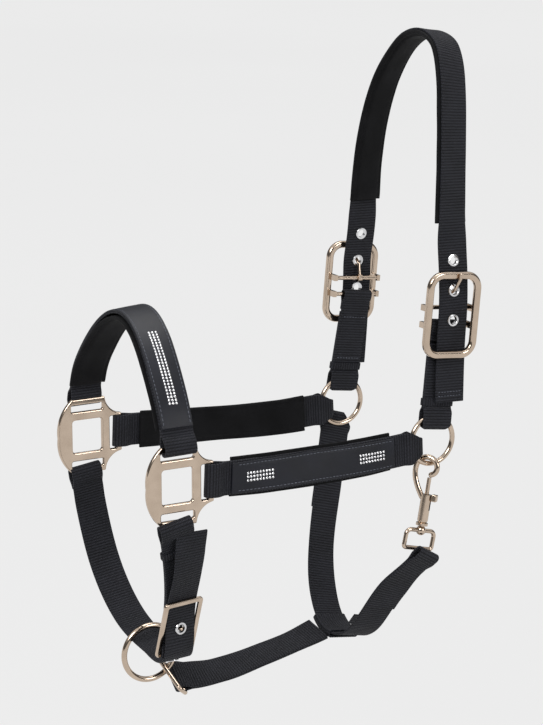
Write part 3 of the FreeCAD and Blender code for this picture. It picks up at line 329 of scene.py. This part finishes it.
def stitch_row(name, path, start, stop, places, height, pitch=STITCH_PITCH):
    """Rows of sewn stitches along a strap, at several distances from its middle."""
    count = int((stop - start) / pitch)
    bpy.ops.object.select_all(action="DESELECT")
    bpy.ops.mesh.primitive_uv_sphere_add(segments=6, ring_count=5, radius=0.5 * MM)
    piece = bpy.context.object
    piece.name = name
    piece.data.name = name
    bpy.ops.object.mode_set(mode="EDIT")
    bpy.ops.mesh.select_all(action="SELECT")
    bpy.ops.transform.rotate(value=math.pi / 2, orient_axis="Y", center_override=(0, 0, 0))
    bpy.ops.transform.resize(value=(pitch * 0.76, THREAD, THREAD * 0.75))
    bpy.ops.object.mode_set(mode="OBJECT")
    use(piece, "ARRAY", count=count, use_relative_offset=False, use_constant_offset=True,
        constant_offset_displace=(pitch * MM, 0, 0))
    one = flat_points(piece)
    rows = []
    for i, y in enumerate(places):
        copy = piece if i == 0 else piece.copy()
        if i:
            copy.data = piece.data.copy()
            bpy.context.collection.objects.link(copy)
        flat = one.copy()
        flat[:, 1] += y
        flat[:, 2] += height
        flat[:, 0] += pitch / 2
        lay(copy, flat, path, shift=start)
        rows.append(copy)
    return finished(joined(rows), "straps", "overlay", thread)


def cross_rows(name, path, places, height):
    """Short rows of stitches from edge to edge of a strap."""
    half = WEB_WIDTH / 2 - 1.6
    bars = []
    for s in places:
        p, across, out = (v[0] for v in path.at([s]))
        back = -np.cross(across, out)
        line = Path([(p - across * half, back), (p + across * half, back)])
        bars.append(stitch_row(name, line, 0.0, line.total, (0.0,), height, CROSS_PITCH))
    return joined(bars)


def band(name, path, middle, width, thick, wall, height, material, slot, node):
    """A narrow loop of webbing sewn round a strap."""
    gap = wall / 2 + LAYER_GAP + 0.1
    half, rise = width / 2 + gap, thick / 2 + gap
    corner = min(rise, 1.6)
    arc = np.radians(np.arange(0, 91, 15))
    ring = []
    for quarter, (cy, ch) in enumerate(((half - corner, rise - corner), (-half + corner, rise - corner),
                                        (-half + corner, -rise + corner), (half - corner, -rise + corner))):
        turn = arc + quarter * math.pi / 2
        ring += [(cy + corner * math.cos(a), ch + corner * math.sin(a)) for a in turn]
    loop = Fold(ring + ring[:1])
    piece = flat_strip(name, loop.total, height, wall, 0.6, 10, 0.3)
    flat = flat_points(piece)
    y, h, ny, nh = loop.at(flat[:, 0])
    z = flat[:, 2] + 0.06 * np.sin(2 * math.pi * flat[:, 0] / RIB_PITCH) * np.sign(flat[:, 2])
    y, h = y - z * ny, h - z * nh
    p, across, out = path.at(middle + flat[:, 1])
    points = (p + across * y[:, None] + out * h[:, None]) * MM
    piece.data.vertices.foreach_set("co", points.ravel())
    only(piece)
    bpy.ops.object.mode_set(mode="EDIT")
    bpy.ops.mesh.select_all(action="SELECT")
    bpy.ops.mesh.remove_doubles(threshold=0.00002)
    bpy.ops.mesh.normals_make_consistent(inside=False)
    bpy.ops.object.mode_set(mode="OBJECT")
    bpy.ops.object.shade_smooth()
    return finished(piece, "straps", slot, material, node)


# ---------------------------------------------------------------- material effects
def effect(name, inputs, outputs):
    """An empty shader group with named sockets, and its input and output nodes."""
    group = bpy.data.node_groups.new(name, "ShaderNodeTree")
    for label, kind, value in inputs:
        socket = group.interface.new_socket(label, in_out="INPUT", socket_type=kind)
        if value is not None:
            socket.default_value = value
    for label, kind in outputs:
        group.interface.new_socket(label, in_out="OUTPUT", socket_type=kind)
    return group, group.nodes.new("NodeGroupInput"), group.nodes.new("NodeGroupOutput")


def sums(tree, kind, a, b=None):
    """A math node; a and b are numbers or sockets."""
    node = tree.nodes.new("ShaderNodeMath")
    node.operation = kind
    for i, value in enumerate((a, b)):
        if value is None:
            continue
        if isinstance(value, (int, float)):
            node.inputs[i].default_value = value
        else:
            tree.links.new(value, node.inputs[i])
    return node.outputs[0]


def weave_effect():
    """Cross ribs of packed yarns: height and how deep each point lies between them."""
    group, into, out = effect("webbing weave", [("Flat", "NodeSocketVector", None),
                                                ("Rib pitch", "NodeSocketFloat", 0.00215),
                                                ("Yarn pitch", "NodeSocketFloat", 0.0011)],
                              [("Height", "NodeSocketFloat"), ("Groove", "NodeSocketFloat")])
    split = group.nodes.new("ShaderNodeSeparateXYZ")
    group.links.new(into.outputs["Flat"], split.inputs[0])
    along = sums(group, "DIVIDE", split.outputs[0], into.outputs["Rib pitch"])
    rib = sums(group, "ABSOLUTE", sums(group, "SINE", sums(group, "MULTIPLY", along, math.pi)))
    step = sums(group, "MULTIPLY", sums(group, "FLOOR", along), 0.5)
    sideways = sums(group, "ADD", sums(group, "DIVIDE", split.outputs[1], into.outputs["Yarn pitch"]), step)
    yarn = sums(group, "ABSOLUTE", sums(group, "SINE", sums(group, "MULTIPLY", sideways, math.pi)))
    height = sums(group, "MULTIPLY", sums(group, "POWER", rib, 0.6), sums(group, "POWER", yarn, 0.5))
    group.links.new(height, out.inputs["Height"])
    group.links.new(sums(group, "SUBTRACT", 1.0, height), out.inputs["Groove"])
    return group


def mottle_effect():
    """Slow patches and fine specks for colour variation, both from 0 to 1."""
    group, into, out = effect("mottle", [("Place", "NodeSocketVector", None),
                                         ("Patch scale", "NodeSocketFloat", 40.0),
                                         ("Speck scale", "NodeSocketFloat", 900.0)],
                              [("Patches", "NodeSocketFloat"), ("Specks", "NodeSocketFloat")])
    for label, detail in (("Patch", 3.0), ("Speck", 2.0)):
        cloud = group.nodes.new("ShaderNodeTexNoise")
        cloud.inputs["Detail"].default_value = detail
        group.links.new(into.outputs["Place"], cloud.inputs["Vector"])
        group.links.new(into.outputs[label + " scale"], cloud.inputs["Scale"])
        group.links.new(cloud.outputs["Fac"], out.inputs[{"Patch": "Patches", "Speck": "Specks"}[label]])
    return group


def grain_effect():
    """Fine leather grain: cells with creases between them."""
    group, into, out = effect("leather grain", [("Place", "NodeSocketVector", None),
                                                ("Cell scale", "NodeSocketFloat", 1400.0)],
                              [("Height", "NodeSocketFloat")])
    cells = group.nodes.new("ShaderNodeTexVoronoi")
    cells.feature = "DISTANCE_TO_EDGE"
    group.links.new(into.outputs["Place"], cells.inputs["Vector"])
    group.links.new(into.outputs["Cell scale"], cells.inputs["Scale"])
    soft = sums(group, "MINIMUM", sums(group, "MULTIPLY", cells.outputs["Distance"], 4.0), 1.0)
    group.links.new(soft, out.inputs["Height"])
    return group


def scratch_effect():
    """Hairline handling marks on plated metal, from 0 to 1."""
    group, into, out = effect("hairlines", [("Place", "NodeSocketVector", None),
                                            ("Fineness", "NodeSocketFloat", 600.0)],
                              [("Marks", "NodeSocketFloat")])
    stretch = group.nodes.new("ShaderNodeMapping")
    stretch.inputs["Scale"].default_value = (1.0, 0.12, 1.0)
    stretch.inputs["Rotation"].default_value = (0.4, 0.2, 0.7)
    group.links.new(into.outputs["Place"], stretch.inputs["Vector"])
    cloud = group.nodes.new("ShaderNodeTexNoise")
    cloud.inputs["Detail"].default_value = 4.0
    group.links.new(stretch.outputs[0], cloud.inputs["Vector"])
    group.links.new(into.outputs["Fineness"], cloud.inputs["Scale"])
    group.links.new(cloud.outputs["Fac"], out.inputs["Marks"])
    return group


WEAVE, MOTTLE, GRAIN, HAIRLINES = weave_effect(), mottle_effect(), grain_effect(), scratch_effect()


def blank(name):
    """A material with its shader, and the coordinates it reads."""
    material = bpy.data.materials.new(name)
    material.use_nodes = True
    tree = material.node_tree
    shader = tree.nodes["Principled BSDF"]
    return material, tree, shader, tree.nodes.new("ShaderNodeTexCoord")


def placed_effect(tree, group, place, **values):
    """A shared effect put in a material, with its own values."""
    node = tree.nodes.new("ShaderNodeGroup")
    node.node_tree = group
    tree.links.new(place, node.inputs[0])
    for key, value in values.items():
        node.inputs[key.replace("_", " ")].default_value = value
    return node


def blended(tree, mask, dark, light, low=0.35, high=0.65):
    """A colour that goes from dark to light as the mask rises."""
    ramp = tree.nodes.new("ShaderNodeValToRGB")
    ramp.color_ramp.elements[0].position = low
    ramp.color_ramp.elements[0].color = (*dark, 1)
    ramp.color_ramp.elements[1].position = high
    ramp.color_ramp.elements[1].color = (*light, 1)
    tree.links.new(mask, ramp.inputs[0])
    return ramp.outputs[0]


def roughened(tree, shader, mask, low, high):
    """Roughness that goes from low to high as the mask rises."""
    span = tree.nodes.new("ShaderNodeMapRange")
    span.inputs["To Min"].default_value = low
    span.inputs["To Max"].default_value = high
    tree.links.new(mask, span.inputs["Value"])
    tree.links.new(span.outputs[0], shader.inputs["Roughness"])


def bumped(tree, shader, height, distance, strength=1.0):
    """Relief too fine for the mesh; distance is in metres."""
    bump = tree.nodes.new("ShaderNodeBump")
    bump.inputs["Distance"].default_value = distance
    bump.inputs["Strength"].default_value = strength
    tree.links.new(height, bump.inputs["Height"])
    tree.links.new(bump.outputs[0], shader.inputs["Normal"])


def nylon(name, dark, light, yarn=0.0011):
    """Ribbed nylon webbing, a little lighter on the crowns of its ribs: a painted highlight on the crowns and
    painted shade in the grooves.
    """
    material, tree, shader, where = blank(name)
    weave = placed_effect(tree, WEAVE, where.outputs["UV"], Yarn_pitch=yarn)
    patches = placed_effect(tree, MOTTLE, where.outputs["Object"], Patch_scale=60.0, Speck_scale=2500.0)
    # The colour rises with the rib height, which paints a highlight on the crowns and shade between the ribs.
    # It also rises with the random patches, which are the cloth's own uneven tone.
    tone = sums(tree, "ADD", sums(tree, "MULTIPLY", weave.outputs["Height"], 0.7),
                sums(tree, "MULTIPLY", patches.outputs["Patches"], 0.4))
    tree.links.new(blended(tree, tone, dark, light, 0.2, 1.0), shader.inputs["Base Color"])
    roughened(tree, shader, weave.outputs["Groove"], 0.5, 0.9)
    bumped(tree, shader, weave.outputs["Height"], 0.0005)
    shader.inputs["Specular IOR Level"].default_value = 0.22
    shader.inputs["Sheen Weight"].default_value = 0.02
    shader.inputs["Sheen Roughness"].default_value = 0.4
    return material


def padding():
    """The soft lining cloth: dark, matt, with a fine tooth."""
    material, tree, shader, where = blank("padded lining cloth")
    weave = placed_effect(tree, WEAVE, where.outputs["UV"], Rib_pitch=0.0007, Yarn_pitch=0.0007)
    cloud = placed_effect(tree, MOTTLE, where.outputs["Object"], Patch_scale=50.0, Speck_scale=2200.0)
    tree.links.new(blended(tree, cloud.outputs["Patches"], (0.0025, 0.0025, 0.003), (0.0055, 0.0055, 0.0065)),
                   shader.inputs["Base Color"])
    roughened(tree, shader, cloud.outputs["Specks"], 0.7, 0.95)
    bumped(tree, shader, weave.outputs["Height"], 0.00012, 0.6)
    shader.inputs["Specular IOR Level"].default_value = 0.15
    shader.inputs["Sheen Weight"].default_value = 0.015
    return material


def hide(name, dark, light, rough):
    """Smooth finished leather with a fine grain and a soft shine."""
    material, tree, shader, where = blank(name)
    grain = placed_effect(tree, GRAIN, where.outputs["Object"])
    cloud = placed_effect(tree, MOTTLE, where.outputs["Object"], Patch_scale=35.0, Speck_scale=1500.0)
    tone = blended(tree, cloud.outputs["Patches"], dark, light, 0.3, 0.75)
    tree.links.new(tone, shader.inputs["Base Color"])
    roughened(tree, shader, cloud.outputs["Specks"], rough - 0.06, rough + 0.1)
    bumped(tree, shader, grain.outputs["Height"], 0.00005, 0.5)
    shader.inputs["Specular IOR Level"].default_value = 0.3
    return material


def plate(name, dark, light, rough):
    """Polished plating with hairline marks."""
    material, tree, shader, where = blank(name)
    marks = placed_effect(tree, HAIRLINES, where.outputs["Object"])
    cloud = placed_effect(tree, MOTTLE, where.outputs["Object"], Patch_scale=70.0, Speck_scale=1200.0)
    tree.links.new(blended(tree, cloud.outputs["Patches"], dark, light), shader.inputs["Base Color"])
    roughened(tree, shader, marks.outputs["Marks"], rough - 0.04, rough + 0.06)
    bumped(tree, shader, marks.outputs["Marks"], 0.000006, 0.3)
    shader.inputs["Metallic"].default_value = 1.0
    return material


def sewing(name, dark, light):
    """Twisted sewing thread."""
    material, tree, shader, where = blank(name)
    twist = placed_effect(tree, HAIRLINES, where.outputs["Object"], Fineness=2600.0)
    tree.links.new(blended(tree, twist.outputs["Marks"], dark, light), shader.inputs["Base Color"])
    roughened(tree, shader, twist.outputs["Marks"], 0.5, 0.8)
    bumped(tree, shader, twist.outputs["Marks"], 0.0001)
    return material


# Each nylon runs from its dark colour in the grooves to its light colour on the rib crowns. This is painted
# shade and painted highlight, mixed with the cloth's own random patches.
webbing = nylon("ribbed nylon webbing", (0.0008, 0.0008, 0.001), (0.022, 0.023, 0.031))
keeper_web = nylon("keeper webbing", (0.0008, 0.0008, 0.001), (0.022, 0.023, 0.031), 0.0008)
lining = padding()
leather = hide("navy leather overlay", (0.0025, 0.003, 0.006), (0.006, 0.007, 0.013), 0.40)
thread = sewing("navy sewing thread", (0.045, 0.050, 0.068), (0.13, 0.14, 0.17))
rose = plate("rose gold plating", (0.52, 0.415, 0.325), (0.60, 0.485, 0.385), 0.11)
silver = plate("bright eyelet metal", (0.62, 0.62, 0.63), (0.80, 0.80, 0.81), 0.16)
stud_metal = plate("pale stud metal", (0.82, 0.82, 0.84), (0.96, 0.96, 0.97), 0.14)
tag_cloth = nylon("satin tag cloth", (0.004, 0.004, 0.005), (0.03, 0.03, 0.036), 0.0005)

METALS = {"hardware": rose, "eyelet": silver, "stud": stud_metal}
for node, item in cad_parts.items():
    kind = "stud" if node.endswith("studs") else "eyelet" if node.endswith("eyelets") else "hardware"
    if item.data.materials:
        for k in range(len(item.data.materials)):
            item.data.materials[k] = METALS[kind]
    else:
        item.data.materials.append(METALS[kind])

# ---------------------------------------------------------------- the straps' paths
SQUARE_TOP = SQUARE[2] + SQUARE_BAR
SQUARE_LOW = SQUARE[2] - SQUARE_BAR


def mirrored(stations):
    """The same stations on the other side of the head."""
    return [((-p[0], p[1], p[2]), (-w[0], w[1], w[2])) for p, w in stations]


OVER_X = 70.5
LOW_CROWN = [((OVER_X + 2.1, -14.6, -267.5), (0, 1, -0.03)),
             ((OVER_X + 0.9, -13.7, -246.0), (0, 1, -0.03)),
             ((OVER_X, -12.4, -218.0), (0, 1, -0.03)),
             ((OVER_X, -11.2, -196.0), (0, 1, -0.03)),
             ((OVER_X - 0.3, -11.04, -182.168), (0, 1, -0.03)),
             ((OVER_X - 2.6, -10.2, -166.0), (0, 1, 0)),
             ((OVER_X - 5.2, -9.8, -148.0), (0, 1, 0))]
HIGH_CROWN = [((63.4, -9.0, -124.0), (-0.16, 1, 0)),
              ((61.5, -7.6, -90.0), (-0.2, 1, 0)),
              ((57.8, -5.6, -54.0), (-0.2, 1, 0)),
              ((51.5, -3.0, -24.0), (-0.22, 1, -0.05)),
              ((38.0, 0.0, -2.0), (-0.26, 1, -0.12)),
              ((17.0, 1.5, 6.0), (-0.3, 1, -0.16)),
              ((-6.0, 0.5, 3.5), (-0.3, 1, -0.1)),
              ((-26.0, -2.0, -11.0), (-0.26, 1, 0)),
              ((-42.0, -5.0, -34.0), (-0.22, 1, 0)),
              ((-54.0, -7.2, -64.0), (-0.2, 1, 0)),
              ((-61.5, -8.6, -98.0), (-0.18, 1, 0)),
              ((-64.2, -9.2, -126.0), (-0.14, 1, 0))]
crown_path = Path(mirrored(LOW_CROWN) + HIGH_CROWN[::-1] + LOW_CROWN[::-1])

CHEEK_STATIONS = [((68.0, -60.466, -301.574), (0, 0, -1)),
                  ((69.6, -88.0, -302.4), (0.1, 0, -1)),
                  ((73.4, -130.0, -301.5), (0.2, 0, -1)),
                  ((76.8, -172.0, -300.4), (0.12, 0, -1)),
                  ((78.0, -205.5, -299.1), (0, 0, -1))]
cheek_path = Path(CHEEK_STATIONS)
off_cheek_path = Path([((-p[0], p[1], p[2]), (w[0], -w[1], -w[2])) for p, w in CHEEK_STATIONS])

BILLET_STATIONS = [((68.0, -22.523, -264.746), (0, 0.992, -0.123)),
                   ((65.2, -16.761, -222.414), (0, 0.996, -0.087))]
billet_path = Path(BILLET_STATIONS)
off_billet_path = Path([((-p[0], p[1], p[2]), (-w[0], -w[1], -w[2])) for p, w in BILLET_STATIONS])

NOSE_NEAR = [((78.0, -247.2, SQUARE_TOP + 14.0), (0, 1, 0)),
             ((73.6, -247.2, -246.5), (0, 1, 0.02)),
             ((62.01, -246.4, -229.0), (0, 1, 0.04)),
             ((46.8, -245.0, -212.0), (0, 1, 0.06)),
             ((29.484, -243.4, -197.5), (0, 1, 0.08)),
             ((10.53, -242.4, -189.0), (0, 1, 0.08))]
nose_path = Path(mirrored(NOSE_NEAR) + NOSE_NEAR[::-1])

CHIN_ACROSS = (-0.147, 0.989, 0.005)
chin_path = Path([((-78.0, -247.2, SQUARE_LOW - 14.0), (0, 1, 0)),
                  ((-74.88, -243.5, -368.0), (0, 1, 0.06)),
                  ((-65.988, -240.0, -396.0), (0, 1, 0.1)),
                  ((-49.92, -236.6, -419.5), (0, 1, 0.13)),
                  ((-25.974, -234.2, -435.5), (0, 1, 0.14)),
                  ((0.0, -233.4, -441.2), (0, 1, 0.12)),
                  ((24.024, -234.6, -442.2), (0, 1, 0.08)),
                  ((43.992, -237.6, -441.0), (0, 1, 0.04)),
                  ((60.72, -239.36, -433.914), CHIN_ACROSS),
                  ((64.13, -238.98, -411.366), CHIN_ACROSS),
                  ((67.239, -238.639, -389.769), CHIN_ACROSS),
                  ((76.0, -238.4, -368.0), (-0.2, 1, 0)),
                  ((81.0, -238.4, -348.0), (-0.1, 1, 0)),
                  ((83.4, -238.4, -333.0), (0, 1, 0))])
hanger_path = Path([((78.0, -247.2, -340.4), (0, 1, 0)),
                    ((63.848, -239.148, -388.673), CHIN_ACROSS),
                    ((58.867, -239.725, -417.704), CHIN_ACROSS)])
THROAT = [((-68.0, -34.05, -332.02), (0.0, 0.978, -0.21)),
          ((-59.5, -43.5, -363.0), (-0.06, 0.97, -0.14)),
          ((-48.5, -56.0, -407.0), (-0.12, 0.97, -0.2)),
          ((-26.5, -66.0, -444.0), (0.0, 0.97, -0.2)),
          ((0.0, -69.5, -462.0), (0.0, 0.98, -0.15)),
          ((26.0, -67.5, -459.5), (0.0, 0.97, -0.2)),
          ((43.0, -64.0, -443.0), (0.0, 0.94, -0.34)),
          ((60.5, -57.0, -415.0), (0.0, 0.93, -0.37)),
          ((73.718, -44.964, -393.655), (0.0, 0.971, -0.24))]
throat_path = Path(THROAT)
jowl_path = Path([((2.504, -200.394, -476.316), (0.86, 0.14, -0.49)),
                  ((3.0, -176.0, -476.5), (0.945, 0.05, -0.322)),
                  ((2.0, -140.0, -471.5), (0.979, 0.0, -0.202)),
                  ((0.5, -112.0, -466.8), (0.987, 0.0, -0.161)),
                  ((-1.438, -81.844, -459.7), (0.954, -0.019, -0.298))])

# ---------------------------------------------------------------- straps
RING_LOOP = (RING_INNER, 8.54, 14.04)
BAR_LOOP = (BAR_INNER, 4.0, 12.0)


def narrowed(reach, room):
    """Draws a strap in near a ring so that it lies between its neighbours there."""
    slope = math.tan(math.radians(room - 1.0)) * 0.97

    def pinch(s):
        return np.clip((reach + s) * slope / (WEB_WIDTH / 2), 0.5, 1.0)
    return pinch


def throat_width(s):
    """The throat strap's share of its full width: drawn in at the ring, narrower at the dee."""
    f = np.clip((throat_path.total - s) / 26.0, 0.0, 1.0)
    end = (21.0 + (WEB_WIDTH - 21.0) * f * f * (3 - 2 * f)) / WEB_WIDTH
    ring = narrowed(36.0, 34.5)(s)
    return np.minimum(end, ring)


CROWN_EYELETS = (62.866, 85.466, 108.066, 499.208, 521.808, 544.408)
webbing_piece("crown_strap", crown_path, length=crown_path.total, holes=CROWN_EYELETS,
              nodes=["crown_webbing"])
billet_fold = doubled(billet_path.total, (32.3 - RING_FOLD, RING_LOOP, 62.0), (14.0, (2.0, 1.0, 8.0), 13.0))
cheek_fold = doubled(cheek_path.total, (34.3 - RING_FOLD, RING_LOOP, 62.0), (15.0, BAR_LOOP, 40.0))
for side, billet_line, cheek_line in (("near", billet_path, cheek_path),
                                      ("off", off_billet_path, off_cheek_path)):
    webbing_piece(side + "_billet_strap", billet_line, billet_fold, pinch=narrowed(32.3, 48.5),
                  nodes=[side + "_billet"])
    webbing_piece(side + "_cheek_strap", cheek_line, cheek_fold, pinch=narrowed(34.3, 34.5),
                  nodes=[side + "_cheek_webbing"])
nose_fold = doubled(nose_path.total, (14.0, BAR_LOOP, 60.0), (14.0, BAR_LOOP, 60.0))
webbing_piece("nose_strap", nose_path, nose_fold, nodes=["nose_webbing"])
CHIN_EYELETS = (190.861, 227.021)
chin_end = run_layer(-14.0, BAR_LOOP, 13.0, 1) + [(9.0, 0.1), (14.0, 0.0), (chin_path.total, 0.0)]
chin_fold = Fold(chin_end)
chin_extra = chin_fold.total - chin_path.total
webbing_piece("chin_strap", chin_path, chin_fold, holes=[s + chin_extra for s in CHIN_EYELETS],
              nodes=["chin_webbing"])
hanger_fold = doubled(hanger_path.total, (14.0, BAR_LOOP, 88.0), (14.0, (2.1, 1.5, 9.5), 13.0))
hanger_bar = hanger_fold.total - 17.6      # where the strap is bent round the heel bar
TONGUE_SLOT = (hanger_bar - 26.0, hanger_bar + 10.0, 4.8)
webbing_piece("chin_hanger_strap", hanger_path, hanger_fold, slots=[TONGUE_SLOT], nodes=["chin_hanger"])
throat_fold = doubled(throat_path.total, (36.0 - RING_FOLD, RING_LOOP, 76.0), (15.0, (2.0, 4.0, 12.0), 60.0))
webbing_piece("throat_strap", throat_path, throat_fold, pinch=throat_width, nodes=["throat_webbing"])
jowl_fold = Fold(run_layer(-13.0, (2.0, 4.0, 12.0), 13.0 + jowl_path.total - 3.2, 1))
webbing_piece("jowl_strap", jowl_path, jowl_fold, nodes=["jowl_webbing"])

CROSSING = 155.167
band("throat_sleeve_band", throat_path, CROSSING, WEB_WIDTH, 2 * WEB_THICK, 1.4, 25.0, webbing, "webbing",
     "throat_sleeve")
band("near_keeper_band", billet_path, -2.8, WEB_WIDTH, 2 * WEB_THICK, 1.1, 5.4, keeper_web, "webbing",
     "near_keeper")
band("off_keeper_band", off_billet_path, -2.8, WEB_WIDTH, 2 * WEB_THICK, 1.1, 5.4, keeper_web, "webbing",
     "off_keeper")
band("chin_keeper_band", hanger_path, 9.0, WEB_WIDTH, 2 * WEB_THICK + 0.3, 1.1, 5.4, keeper_web, "webbing",
     "chin_keeper")

# ---------------------------------------------------------------- pads, overlays and sewing
UNDER = WEB_THICK + LAYER_GAP
pad_piece("crown_pad", crown_path, 136.04, 471.19, CROWN_PAD_WIDTH, CROWN_PAD_THICK,
          -WEB_THICK / 2 - LAYER_GAP - CROWN_PAD_THICK, (11.4,), "straps", "crown_lining")
pad_piece("nose_pad", nose_path, 1.0, nose_path.total - 1.0, PAD_WIDTH, PAD_THICK, -UNDER - PAD_THICK,
          (11.6,), "straps", "nose_lining")
overlay_piece("nose_overlay_strip", nose_path, 1.0, nose_path.total - 1.0, NOSE_OVERLAY, UNDER, "straps",
              "nose_overlay")
nose_rows = NOSE_OVERLAY / 2 - STITCH_INSET
stitch_row("nose_stitches", nose_path, 3.0, nose_path.total - 3.0, (-nose_rows, nose_rows), ON_OVERLAY)
for side, line in (("near", cheek_path), ("off", off_cheek_path)):
    pad_piece(side + "_cheek_pad", line, 2.0, line.total - 2.0, PAD_WIDTH, PAD_THICK, -UNDER - PAD_THICK,
              (11.6,), "straps", side + "_cheek_lining")
    overlay_piece(side + "_cheek_overlay_strip", line, 1.0, line.total - 1.0, CHEEK_OVERLAY, UNDER, "straps",
                  side + "_cheek_overlay")
    rows = CHEEK_OVERLAY / 2 - STITCH_INSET
    stitch_row(side + "_cheek_stitches", line, 3.0, line.total - 3.0, (-rows, rows), ON_OVERLAY)

SINGLE, DOUBLE = WEB_THICK / 2 + 0.12, WEB_THICK + 0.12
crown_hems = (5.0, 8.0, crown_path.total - 8.0, crown_path.total - 5.0)
cross_rows("crown_hem_stitches", crown_path, crown_hems, SINGLE)
cross_rows("chin_hem_stitches", chin_path, (chin_path.total - 8.0, chin_path.total - 5.0), SINGLE)
cross_rows("near_billet_stitches", billet_path, (4.0, 38.0), DOUBLE)
cross_rows("off_billet_stitches", off_billet_path, (4.0, 38.0), DOUBLE)
cross_rows("throat_stitches", throat_path, (2.0, 5.0, throat_path.total - 4.0), DOUBLE)
cross_rows("jowl_stitches", jowl_path, (3.0, 6.0), DOUBLE)

TAG_PATH = Path([((72.2, -24.3, -276.3), (0, -0.992, 0.123)),
                 ((69.95, -23.7, -270.9), (0, -0.992, 0.123))])
tag = flat_strip("blank_size_tag", TAG_PATH.total, 23.0, 0.5, 0.5, 20, 0.12)
lay(tag, flat_points(tag), TAG_PATH)
finished(tag, "straps", "tag", tag_cloth, "size_tag")

tab = flat_strip("throat_strap_tab", 11.0, 4.5, 1.1, 0.8, 6, 0.25)
tab_flat = flat_points(tab)
tab_flat[:, 1] -= WEB_WIDTH / 2 + 2.3
lay(tab, tab_flat, throat_path, shift=throat_path.total - 67.5)
finished(tab, "straps", "webbing", keeper_web, "throat_tab")

# ---------------------------------------------------------------- floor, light and camera
floor_material, floor_tree, floor_shader, floor_where = blank("pale studio floor")
floor_cloud = placed_effect(floor_tree, MOTTLE, floor_where.outputs["Object"],
                            Patch_scale=0.4, Speck_scale=30.0)
floor_tone = blended(floor_tree, floor_cloud.outputs["Patches"], (0.80, 0.80, 0.80), (0.81, 0.81, 0.81))
floor_tree.links.new(floor_tone, floor_shader.inputs["Emission Color"])
floor_shader.inputs["Emission Strength"].default_value = 1.0
floor_shader.inputs["Base Color"].default_value = (0.03, 0.03, 0.03, 1)
floor_shader.inputs["Roughness"].default_value = 1.0
floor_shader.inputs["Specular IOR Level"].default_value = 0.0
bpy.ops.object.select_all(action="DESELECT")
bpy.ops.mesh.primitive_plane_add(size=60.0, location=(0, 0, -0.62))
floor = bpy.context.object
floor.name = "studio_floor"
floor.data.materials.append(floor_material)

world = bpy.data.worlds.new("soft studio")
bpy.context.scene.world = world
world.use_nodes = True
sky = world.node_tree
sky_where = sky.nodes.new("ShaderNodeTexCoord")
sky_split = sky.nodes.new("ShaderNodeSeparateXYZ")
sky.links.new(sky_where.outputs["Generated"], sky_split.inputs[0])
sky_tone = sky.nodes.new("ShaderNodeValToRGB")
for place, level in ((0.0, 0.8), (0.42, 0.55), (0.55, 0.12), (0.68, 0.16), (0.8, 0.9), (1.0, 1.0)):
    stop = sky_tone.color_ramp.elements.new(place)
    stop.color = (level, level, level, 1)
sky_tone.color_ramp.elements.remove(sky_tone.color_ramp.elements[0])
sky_tone.color_ramp.elements.remove(sky_tone.color_ramp.elements[-1])
sky.links.new(sums(sky, "MULTIPLY", sums(sky, "ADD", sky_split.outputs[2], 1.0), 0.5), sky_tone.inputs[0])
sky.links.new(sky_tone.outputs[0], sky.nodes["Background"].inputs["Color"])
sky.nodes["Background"].inputs["Strength"].default_value = 0.9


def soft_light(name, place, power, size):
    """A square lamp aimed at the middle of the object."""
    data = bpy.data.lights.new(name, "AREA")
    data.energy = power
    data.size = size
    light = bpy.data.objects.new(name, data)
    bpy.context.collection.objects.link(light)
    light.location = place
    aim = Vector((0, -0.128, -0.24)) - Vector(place)
    light.rotation_euler = aim.to_track_quat("-Z", "Y").to_euler()


soft_light("key", (1.3, -1.9, 1.5), 42.0, 1.1)
soft_light("side", (2.2, 0.9, 0.5), 16.0, 0.8)
soft_light("top", (-0.4, 0.2, 2.0), 22.0, 1.4)

camera_data = bpy.data.cameras.new("camera")
camera_data.lens = 109.24
camera_data.sensor_width = 36.0
camera_data.clip_end = 100.0
camera = bpy.data.objects.new("camera", camera_data)
bpy.context.collection.objects.link(camera)
TARGET = Vector((0.0, -0.128, -0.239))
AZIMUTH, ELEVATION, DISTANCE = math.radians(61.3), math.radians(13.3), 1.667
away = Vector((math.sin(AZIMUTH) * math.cos(ELEVATION), -math.cos(AZIMUTH) * math.cos(ELEVATION),
               math.sin(ELEVATION)))
camera.location = TARGET + away * DISTANCE
camera.rotation_euler = (-away).to_track_quat("-Z", "Y").to_euler()
bpy.context.scene.camera = camera
bpy.context.scene.view_settings.view_transform = "Standard"
